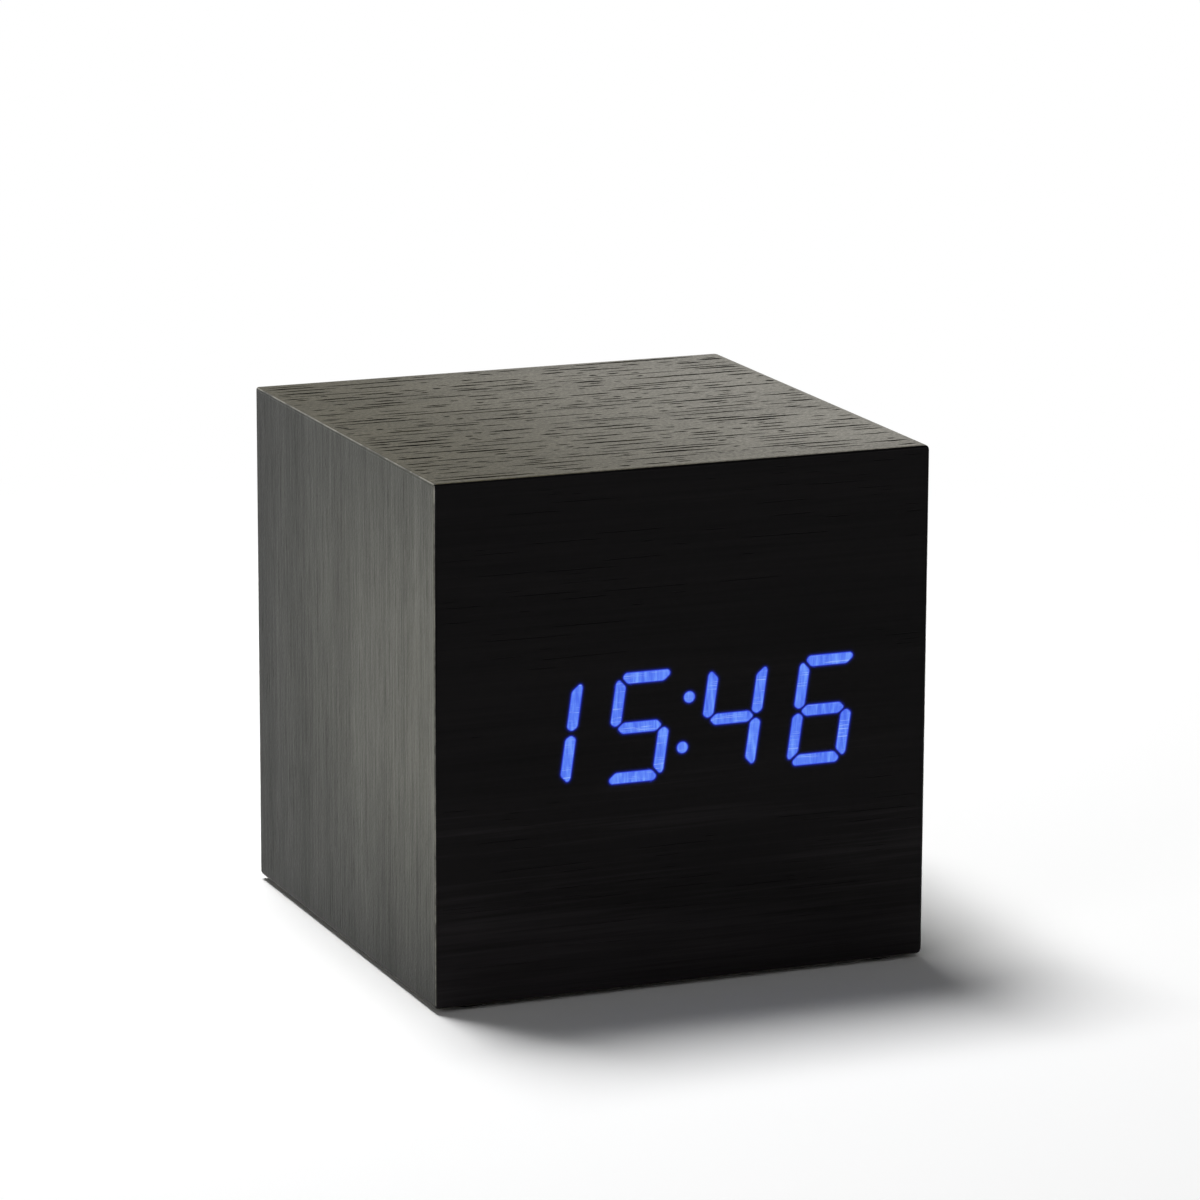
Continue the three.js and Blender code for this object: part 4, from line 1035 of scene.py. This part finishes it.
eroded_abs = moulded_plastic(
    "abs_from_spark_eroded_mould", "#19191a", "#222223", 0.55, 0.22, 0.010)
polished_abs = moulded_plastic(
    "abs_from_polished_mould", "#131314", "#19191a", 0.28, 0.5, 0.001)
white_plastic = moulded_plastic(
    "white_polycarbonate", "#d6d3ca", "#e2dfd8", 0.45, 0.3, 0.002, 1.58)
epoxy = moulded_plastic("epoxy_moulding_compound", "#1c1c1e", "#2a2a2c", 0.6, 0.12, 0.006, 1.55)
print("plastics:", eroded_abs.name, polished_abs.name)

# %% [markdown]
# Small metal parts are nickel-plated spring steel or zinc-plated steel. Both are bright, nickel a
# little warmer and zinc a little bluer. Their draw lines are 0.12 mm wide here, coarser than the
# real ones, which wouldn't show. The pads are black foam with cells of a quarter of a
# millimetre, and the marks on the buttons are matt white ink.

# %% Metals, foam and ink
def plated_metal(name, dark, light, rough, along):
    return make_finish(
        name, patterned, [(along, 6, 0.12)], [(0.3, dark), (0.7, light)], {"Metallic": 1.0},
        0.002, (rough - 0.06, rough + 0.08))


def foam_cells(add):
    cells = add("TexVoronoi", {"Scale": 1.0, "Vector": sized_place(add, "X", 0.25, 0.25)})
    colour = add("ValToRGB", {"stops": [(0.1, "#1b1b1c"), (0.8, "#0e0e0f")], 0: cells})
    relief = add("Bump", {"Distance": 0.03 * MM, "Height": cells})
    return add("BsdfPrincipled", {
        "IOR": 1.5, "Roughness": 0.95, "Base Color": colour, "Normal": relief})


nickel = plated_metal("nickel_plate_on_spring_steel", "#b9b4a8", "#d2cdc2", 0.28, "Y")
zinc = plated_metal("bright_zinc_plate_on_steel", "#a9acb1", "#c6c9cd", 0.34, "X")
foam = make_finish("black_eva_foam", foam_cells)
ink = make_finish(
    "matt_white_ink", patterned, [("X", 0.1, 0.1)], [(0.3, "#c4c4c1"), (0.7, "#dadad7")],
    {"IOR": 1.5, "Roughness": 0.7})
print("metals:", nickel.name, zinc.name)

# %% [markdown]
# Flat moulded parts are drawn as a curve with holes. Blender fills a closed 2D curve, gives it
# thickness and rounds its rims, holes included, which is just what a mould does to a plate.

# %% Plates with rounded rims
def curve_through(lines, is_closed, **settings):
    curve = bpy.data.curves.new("curve", "CURVE")
    for key, value in settings.items():
        setattr(curve, key, value)
    for line in lines:
        spline = curve.splines.new("POLY")
        spline.points.add(len(line) - 1)
        for point, place in zip(spline.points, line):
            point.co = (*Vector(place).to_3d(), 1)
        spline.use_cyclic_u = is_closed
    return curve


def plate(outlines, low, high, edge, axis="Y"):
    drawing = evaluated(curve_through(
        outlines, True, dimensions="2D", fill_mode="BOTH", extrude=(high - low) / 2 - edge,
        bevel_depth=edge, bevel_resolution=2, offset=-edge))
    bmesh.ops.remove_doubles(drawing, verts=drawing.verts[:], dist=1e-4)
    middle = (low + high) / 2
    for vert in drawing.verts:
        a, b, c = vert.co
        vert.co = {"X": (middle + c, a, b), "Y": (a, middle - c, b), "Z": (a, b, middle + c)}[axis]
    bmesh.ops.recalc_face_normals(drawing, faces=drawing.faces[:])
    return drawing


example = plate([circle(0, 0, 5), circle(0, 0, 2)], 0, 1, 0.2)
print("a washer 1 mm thick has", len(example.faces), "faces")
example.free()

# %% [markdown]
# Round parts are turned, as on a lathe: a profile of radius and length goes once round an axis.
# A fillet gives the profile points of a rounded corner. Drawings that only touch are joined in
# one mesh, without the work of a boolean.

# %% Turned parts
def turned(profile, centre, axis="Y", sides=48):
    drawing = bmesh.new()
    along = Vector([float(axis == name) for name in "XYZ"])
    first = Vector((0, 0, 1)) if axis != "Z" else Vector((1, 0, 0))
    second = along.cross(first)
    turns = [2 * math.pi * i / sides for i in range(sides)]
    rings = []
    for radius, length in profile:
        middle = Vector(centre) + along * length
        places = [middle] if radius == 0 else [
            middle + first * radius * math.cos(a) + second * radius * math.sin(a) for a in turns]
        rings.append([drawing.verts.new(place) for place in places])
    for lower, upper in zip(rings, rings[1:]):
        for i in range(sides):
            j = (i + 1) % sides
            corners = [lower[i % len(lower)], lower[j % len(lower)],
                       upper[j % len(upper)], upper[i % len(upper)]]
            drawing.faces.new(list(dict.fromkeys(corners)))
    bmesh.ops.recalc_face_normals(drawing, faces=drawing.faces[:])
    return drawing


def joined(first, *others):
    """Puts drawings into one mesh. Their shells stay separate."""
    for other in others:
        mesh = mesh_of(other)
        first.from_mesh(mesh)
        bpy.data.meshes.remove(mesh)
    return first


def painted(drawing, index):
    for face in drawing.faces:
        face.material_index = index
    return drawing


def fillet(radius, length, size, upward=True, steps=4):
    """Profile points of a rounded corner, from the side at radius to the end at length."""
    sign = 1 if upward else -1
    angles = [math.pi / 2 * i / steps for i in range(steps + 1)]
    points = [(radius - size + size * math.cos(a), length - sign * size * (1 - math.sin(a)))
              for a in angles]
    return points if upward else points[::-1]


print("a fillet has", len(fillet(5, 0, 1)), "points")

# %% [markdown]
# The feet are four foam pads, stuck on near the corners. They are 0.6 mm thick, and they leave
# the thin dark line under the clock.

# %% Feet
for side in ("front_left", "front_right", "back_left", "back_right"):
    low, high = corners_of(f"foot_{side}")
    radius = (high.x - low.x) / 2
    profile = [(0, low.z), *fillet(radius, low.z, 0.15, False), *fillet(radius, high.z, 0.1),
               (0, high.z)]
    x, y, _ = middle_of(f"foot_{side}")
    make_piece(f"pad_{side}", turned(profile, (x, y, 0), "Z", 64), [foam],
               f"foot_{side}", smooth_below=50)
print("pads: 4,", round(high.z - low.z, 2), "mm thick")

# %% [markdown]
# The rear panel is a plate 1.6 mm thick with rounded rims. It has three pill-shaped openings for
# the buttons, a round one for the power socket, seven small sound holes, one hole for the
# microphone and two countersunk seats. Four posts behind it carry the circuit board.

# %% Rear panel
PANEL_THICK, PANEL_CORNER, PANEL_EDGE = 1.6, 2.0, 0.18
SOUND_HOLE, SOUND_RING, MICROPHONE_HOLE = 0.55, 2.4, 0.7
SLIDE, SOCKET_NOSE = 0.2, 3.0
CAP_WIDTH, CAP_HEIGHT = 7.5, 5.0
SCREW_SEAT = ((0, -3), (1.1, -3), (1.1, -1.25), (2.0, -0.1), (2.0, 1), (0, 1))
POST_INSET, POST_RADIUS, PEG_RADIUS = 1.7, 1.5, 0.7
panel_face = panel_high.y
panel_back = panel_face - PANEL_THICK
screw_places = {f"rear_screw_{side}": middle_of(f"rear_screw_{side}") for side in ("left", "right")}
cap_places = {name: middle_of(f"{name}_button") for name in ("set", "up", "down")}
socket_x, _, socket_z = middle_of("power_socket")


def pill(x, z, room):
    half_x, half_z = CAP_WIDTH / 2 + room, CAP_HEIGHT / 2 + room
    return rounded_outline(x - half_x, x + half_x, z - half_z, z + half_z, half_z - 1e-3)


def rear_panel_drawing():
    buzzer_x = middle_of("buzzer")[0]
    outlines = [rounded_outline(panel_low.x, panel_high.x, panel_low.z, panel_high.z, PANEL_CORNER)]
    outlines += [pill(x, z, SLIDE) for x, _, z in cap_places.values()]
    outlines.append(circle(socket_x, socket_z, SOCKET_NOSE + SLIDE))
    sound_places = [(buzzer_x, socket_z), *circle(buzzer_x, socket_z, SOUND_RING, 6)]
    outlines += [circle(x, z, SOUND_HOLE, 24) for x, z in sound_places]
    outlines.append(circle(middle_of("microphone")[0], socket_z, MICROPHONE_HOLE, 28))
    drawing = plate(outlines, panel_back, panel_face, PANEL_EDGE)
    seats = [turned(SCREW_SEAT, (x, panel_face, z)) for x, _, z in screw_places.values()]
    drawing = cut_from(drawing, seats)
    low, high = corners_of("main_circuit_board")
    ends = ((PEG_RADIUS, panel_low.y), (PEG_RADIUS, high.y),
            (POST_RADIUS, high.y), (POST_RADIUS, panel_back + 0.1))
    profile = [(0, ends[0][1]), *ends, (0, ends[-1][1])]
    posts = [turned(profile, (x, 0, z), "Y", 32)
             for x in (low.x + POST_INSET, high.x - POST_INSET)
             for z in (low.z + POST_INSET, high.z - POST_INSET)]
    return cut_from(drawing, posts, "UNION")


make_piece("panel_at_back", rear_panel_drawing(), [eroded_abs], "rear_panel")
print("rear panel:", round(panel_high.x - panel_low.x, 1), "mm wide")

# %% [markdown]
# Each button is a polished pill with a wide flange that keeps it behind the panel. Marks in white
# ink say what it does: a dial with a hand for setting, and arrows for up and down. The marks are
# thin solids that stand 0.03 mm proud, as printed ink does.

# %% Buttons
INK_DEPTH, INK_PROUD, HAND, ARROW = 0.1, 0.03, 0.12, 1.15
CAP_EDGE, FLANGE_WIDE, FLANGE_THICK, FLANGE_EDGE = 0.45, 0.9, 0.9, 0.1


def rectangle(x_low, x_high, z_low, z_high):
    return [(x_low, z_low), (x_high, z_low), (x_high, z_high), (x_low, z_high)]


def button_marks(name, x, z, face):
    ends = (face - INK_DEPTH, face + INK_PROUD)
    if name != "set":
        rise = ARROW if name == "up" else -ARROW
        foot = z - rise * 0.75
        return [front_solid([(x, z + rise), (x - ARROW, foot), (x + ARROW, foot)], *ends)]
    ring = plate([circle(x, z, 1.35), circle(x, z, 1.05)], *ends, 0.01)
    hand = front_solid(rectangle(x - HAND, x + HAND, z - HAND, z + 0.8), *ends)
    short_hand = front_solid(rectangle(x - 0.6, x - HAND, z - HAND, z + HAND), *ends)
    return [ring, hand, short_hand]


for name, (x, _, z) in cap_places.items():
    low, high = corners_of(f"{name}_button")
    flange = plate([pill(x, z, FLANGE_WIDE)], low.y, low.y + FLANGE_THICK, FLANGE_EDGE)
    cap = cut_from(plate([pill(x, z, 0)], low.y, high.y, CAP_EDGE), [flange], "UNION")
    marks = [painted(mark, 1) for mark in button_marks(name, x, z, high.y)]
    make_piece(f"cap_{name}", joined(cap, *marks), [polished_abs, ink], f"{name}_button",
               f"{name}_button_cap")
print("buttons:", list(cap_places))

# %% [markdown]
# The power socket has a round nose with a rounded mouth, a deep bore and a pin in its middle,
# plated with nickel. Its nose and its square base are two drawings made one by a boolean.

# %% Power socket
BORE, BORE_DEEP, NOSE_LONG, PIN_RADIUS = 1.8, 8.0, 9.0, 0.65


def socket_drawing():
    low, high = corners_of("power_socket")
    mouth = (socket_x, high.y, socket_z)
    nose = turned(
        [(0, -BORE_DEEP), (BORE, -BORE_DEEP), (BORE, -0.2), (BORE + 0.06, -0.06), (BORE + 0.2, 0),
         *fillet(SOCKET_NOSE, 0, 0.2)[::-1], (SOCKET_NOSE, -NOSE_LONG), (0, -NOSE_LONG)],
        mouth, "Y", 64)
    well = turned([(0, -BORE_DEEP), (BORE, -BORE_DEEP), (BORE, 1), (0, 1)], mouth, "Y", 64)
    base = cut_from(box_drawing(low, (high.x, panel_back - SLIDE, high.z)), [well])
    pin_foot = -BORE_DEEP - 0.5
    pin = turned([(0, pin_foot), (PIN_RADIUS, pin_foot), *fillet(PIN_RADIUS, -1, 0.3), (0, -1)],
                 mouth, "Y", 32)
    return joined(cut_from(base, [nose], "UNION"), painted(pin, 1))


make_piece("socket_for_power", socket_drawing(), [polished_abs, nickel], "power_socket")
print("socket at", round(socket_x, 1), round(socket_z, 1))

# %% [markdown]
# The screws are the small cross-headed kind. The two at the back have countersunk heads, and the
# two that hold the display have round ones. The cross is cut with two thin boxes.

# %% Screws
SHANK, HEAD_RADIUS, ROUND_TOP, CROSS_DEEP = 1.0, 1.9, 1.2, 0.6
FLAT_HEAD = [(SHANK, -1.2), (1.88, -0.12), (1.88, -0.04), (1.8, 0.0)]
ROUND_HEAD = [(SHANK, 0.0), (HEAD_RADIUS, 0.0)] + [
    (HEAD_RADIUS * math.cos(a), 0.45 + 0.75 * math.sin(a)) for a in (0.0, 0.35, 0.7, 1.05, 1.35)]


def add_screw(node, seat, head, top):
    x, _, z = middle_of(node)
    body = turned([(0, -6.0), (SHANK, -5.0), *head, (0, top)], (x, seat, z))
    cross = [box_drawing((x - wide, seat + top - CROSS_DEEP, z - tall),
                         (x + wide, seat + top + 1, z + tall))
             for wide, tall in ((1.15, 0.24), (0.24, 1.15))]
    make_piece(f"{node}_turned", cut_from(body, cross), [zinc], node)


for node in screw_places:
    add_screw(node, panel_face, FLAT_HEAD, 0.0)
for node in ("display_screw_upper", "display_screw_lower"):
    add_screw(node, corners_of(node)[1].y - ROUND_TOP, ROUND_HEAD, ROUND_TOP)
print("screws: 4")

# %% [markdown]
# The battery door is a flat lid in the underside. Two hooks hold its left end, and the right end
# has a springy tongue between two slits, with a thumb groove and two ribs.

# %% Battery door
LID_CORNER, LID_EDGE, HOOK_LONG, HOOK_HALF, HOOK_PLACES = 0.7, 0.15, 1.1, 2.5, (-10, 10)
SLIT_PLACES, SLIT_HALF, SLIT_DEEP = (-4.5, 4.5), 0.4, 6.0
THUMB_HALF, GROOVE_ENDS, RIB_PLACES, RIB_HALF = 2.9, (3.2, 1.6), (19.3, 20.2), 0.2


def rounded_bar(x_low, x_high, z_low, z_high, radius, steps):
    """A bar as wide as a thumb, with rounded edges, for the groove and the ribs."""
    bar = box_drawing((x_low, -THUMB_HALF, z_low), (x_high, THUMB_HALF, z_high))
    return bevelled(bar, width=radius, segments=steps)


def door_drawing():
    low, high = corners_of("battery_door")
    hinge_end = low.x + HOOK_LONG
    outline = rounded_outline(hinge_end, high.x, -high.y, high.y, LID_CORNER, 8)
    for y in SLIT_PLACES:
        outline += [(high.x, y - SLIT_HALF),
                    *arc(high.x - SLIT_DEEP + SLIT_HALF, y, SLIT_HALF, 270, 90, 8),
                    (high.x, y + SLIT_HALF)]
    lid = plate([outline], low.z, high.z, LID_EDGE, "Z")
    ends = [high.x - reach for reach in GROOVE_ENDS]
    lid = cut_from(lid, [rounded_bar(*ends, low.z - 0.6, low.z + 0.6, 0.4, 4)])
    hooks = [box_drawing((low.x, y - HOOK_HALF, low.z + 0.5),
                         (hinge_end + HOOK_LONG, y + HOOK_HALF, low.z + 1.3)) for y in HOOK_PLACES]
    ribs = [rounded_bar(x - RIB_HALF, x + RIB_HALF, low.z - 0.15, low.z + 0.2, 0.12, 3)
            for x in RIB_PLACES]
    return cut_from(lid, hooks + ribs, "UNION")


make_piece("lid_of_battery_bay", door_drawing(), [eroded_abs], "battery_door",
           "door")
print("battery door made")

# %% [markdown]
# Three AAA cells lie side by side, and the middle one points the other way. A cell is a steel
# can in a shiny printed foil sleeve. The foil's rims are rolled over both ends, so a bright ring
# of can shows round the flat end and round the nub. The plus and minus signs on the sleeve are
# painted by giving their faces the ink.

# %% Battery cells
CELL_LONG, NUB_RADIUS, NUB_LONG, BAND_LONG, CELL_SIDES = 43.7, 1.9, 0.8, 18, 64
CAN_RING, MARK_STEP, PLUS_AT, MINUS_AT = 4.3, 1.03, CELL_LONG - 6.5, 3.0


def printed_foil(name, dark, light, metallic, rough):
    return make_finish(
        name, patterned, [("X", 8, 0.2)], [(0.3, dark), (0.7, light)],
        {"Metallic": metallic, "Roughness": rough}, 0.003)


def cell_profile(radius):
    marks = [[(radius, start + i * MARK_STEP) for i in range(4)] for start in (MINUS_AT, PLUS_AT)]
    top = CELL_LONG + NUB_LONG
    return [
        (0, 0.1), (3.5, 0.1), (3.8, 0), (4.2, 0), (CAN_RING, 0.15), (CAN_RING + 0.05, 0.15),
        *fillet(radius, 0, 0.55, False)[1:], *marks[0], (radius, BAND_LONG), *marks[1],
        *fillet(radius, CELL_LONG, 0.55),
        (CAN_RING + 0.05, CELL_LONG - 0.1), (CAN_RING, CELL_LONG - 0.1),
        (NUB_RADIUS + 0.9, CELL_LONG - 0.1), (NUB_RADIUS + 0.5, CELL_LONG),
        (NUB_RADIUS, CELL_LONG), *fillet(NUB_RADIUS, top, 0.35), (0, top)]


def cell_drawing(tip_x, sign, middle, radius):
    top = CELL_LONG + NUB_LONG
    profile = [(r, (along - CELL_LONG - NUB_LONG) * sign) for r, along in cell_profile(radius)]
    can = turned(profile, (tip_x, *middle[1:]), "X", CELL_SIDES)
    for face in can.faces:
        x, y, z = face.calc_center_median()
        along = top + (x - tip_x) * sign
        y, z = y - middle[1], z - middle[2]
        reach = math.hypot(y, z)
        face.material_index = 1 if reach < CAN_RING + 0.03 else 2 if along < BAND_LONG else 0
        if reach <= radius - 0.05:
            continue
        turn = round(math.atan2(y, -z) * CELL_SIDES / (2 * math.pi) - 0.5)
        is_centre, is_beside = turn in (-1, 0), turn in (-3, -2, 1, 2)
        for start, has_upright in ((PLUS_AT, True), (MINUS_AT, False)):
            step = math.floor((along - start) / MARK_STEP)
            if step == 1 and (is_centre or is_beside) or (
                    has_upright and step in (0, 2) and is_centre):
                face.material_index = 3
    return can


cell_finishes = [
    printed_foil("printed_foil_sleeve", "#6c717b", "#7d838e", 1.0, 0.3), nickel,
    printed_foil("dark_ink_band_on_foil", "#22262e", "#2c313a", 0.35, 0.32), ink]
for i, sign in ((1, -1), (2, 1), (3, -1)):
    node = f"aaa_cell_{i}"
    low, high = corners_of(node)
    cell = cell_drawing(high.x if sign > 0 else low.x, sign, middle_of(node), (high.y - low.y) / 2)
    make_piece(f"cell_{i}", cell, cell_finishes, node, smooth_below=30)
print("cells: 3,", CELL_LONG + NUB_LONG, "mm long")

# %% [markdown]
# The contacts are stamped from nickel-plated sheet with a conical spring of wire where a cell's
# flat end presses. A curve with a round bevel is a wire, and its turns get narrower towards the
# cell so that they can nest.

# %% Battery contacts
SPRING_TURNS, SPRING_REACH, WIRE, STEPS_PER_TURN = 2.5, 3.6, 0.35, 28
WIDE_TURN, NARROW_TURN = 3.4, 1.9
SHEET_THICK, SHEET_EDGE, TAG_HALF = 0.4, 0.06, 1.2


def spring_drawing(inner_x, y, z, sign):
    points = []
    steps = round(SPRING_TURNS * STEPS_PER_TURN)
    for share in (i / steps for i in range(steps + 1)):
        radius = WIDE_TURN + (NARROW_TURN - WIDE_TURN) * share
        turn = 2 * math.pi * SPRING_TURNS * share
        points.append((inner_x - sign * (SPRING_REACH - WIRE) * share,
                       y + sign * -radius * math.cos(turn), z + radius * math.sin(turn)))
    return evaluated(curve_through(
        [points], False, dimensions="3D", bevel_depth=WIRE, bevel_resolution=3,
        use_fill_caps=True))


def contact_drawing(node, sign, spring_at, tag_at):
    low, high = corners_of(node)
    centre_z = corners_of("aaa_cell_1")[0].z + 5.25
    ends = (high.x - SHEET_THICK, high.x) if sign > 0 else (low.x, low.x + SHEET_THICK)
    sheet = plate([rounded_outline(low.y, high.y, low.z, centre_z + 4.2, 0.8, 5)],
                  *ends, SHEET_EDGE, "X")
    if tag_at is not None:
        tag = rounded_outline(tag_at - TAG_HALF, tag_at + TAG_HALF, centre_z, high.z, 0.4, 4)
        sheet = cut_from(sheet, [plate([tag], *ends, SHEET_EDGE, "X")], "UNION")
    if spring_at is None:
        return sheet
    return joined(sheet, spring_drawing(ends[sign < 0], spring_at, centre_z, sign))


rows = [middle_of(f"aaa_cell_{i}")[1] for i in (1, 2, 3)]
for node, sign, spring_at, tag_at in (
        ("contact_positive", -1, None, rows[0]), ("contact_bridge_right", 1, rows[0], None),
        ("contact_bridge_left", -1, rows[1], None), ("contact_negative", 1, rows[2], rows[2])):
    make_piece(f"stamped_{node}", contact_drawing(node, sign, spring_at, tag_at), [nickel],
               node)
print("contacts: 4")

# %% [markdown]
# The boards behind the veneer are raw medium-density fibreboard: short brown fibres pressed
# flat, dry and quite matt. The fibres are drawn 0.25 mm wide, coarser than they are, so that
# they show in the rim of the pocket at the back. The circuit boards are glass laminate with a
# green mask over copper, and the tracks under it show as slightly lighter, raised lines. The
# wires have a smooth PVC cover.

# %% Finishes for the inside
def laminate(add):
    tracks = add("TexBrick", {
        "Scale": 1.0, "Mortar Size": 0.11, "Mortar Smooth": 0.1, "Brick Width": 2.4,
        "Row Height": 0.9, "Color1": "#14492c", "Color2": "#16502f", "Mortar": "#2a6b3f",
        "Vector": sized_place(add, "X", 1, 1)})
    weave = grain(add, "X", 0.5, 0.5)
    colour = add("Mix", {"data_type": "RGBA", 0: 0.15, 6: tracks, 7: weave})
    relief = add("Bump", {"Distance": 0.02 * MM, "Height": tracks.outputs["Fac"]})
    return add("BsdfPrincipled", {
        "IOR": 1.53, "Roughness": 0.35, "Base Color": colour, "Normal": relief})


fibreboard = make_finish(
    "raw_fibreboard", patterned, [(along, 1.6, 0.25, 3.0, 0.6) for along in "XZ"],
    [(0.35, "#8d6f4a"), (0.65, "#b4966b")],
    {"IOR": 1.5, "Roughness": 0.9, "Specular IOR Level": 0.25}, 0.03)
slot_finishes = {
    "fibreboard": fibreboard, "white_plastic": white_plastic, "black_plastic": eroded_abs,
    "circuit_laminate": make_finish("glass_laminate_with_green_mask", laminate),
    "chip_resin": epoxy, "steel": zinc, "nickel_plate": nickel}
for colour, dark, light in (("red", "#8f1616", "#a82020"), ("black", "#17171a", "#222226"),
                            ("grey", "#8d8f92", "#a6a8aa")):
    slot_finishes[f"{colour}_insulation"] = make_finish(
        f"{colour}_pvc", patterned, [("X", 0.3, 0.3)], [(0.3, dark), (0.7, light)],
        {"IOR": 1.53, "Roughness": 0.38}, 0.004)
print("slots with a finish:", len(slot_finishes))

# %% [markdown]
# Every CAD node whose shape is already right keeps its mesh, and only gets its finish. The record
# names a slot for each, so one table does them all. A fine bevel takes the knife edges off the
# moulded battery case.

# %% Finishes on the CAD nodes
slot_of = {part["node"]: part["material_slot"] for part in frame["record"]["subparts"]}
dressed = []
for node, piece in frame["nodes"].items():
    finish = slot_finishes.get(slot_of[node])
    if finish and not piece.hide_render:
        for place in piece.material_slots:
            place.material = finish
        dressed.append(node)
rim = frame["nodes"]["battery_case"].modifiers.new("rounded_rims", "BEVEL")
rim.width, rim.segments = 0.15 * MM, 2
rim.limit_method, rim.angle_limit = "ANGLE", math.radians(40)
print("CAD nodes with a finish:", len(dressed))

# %% [markdown]
# Last, the scene is brought up to date.


bpy.context.view_layer.update()
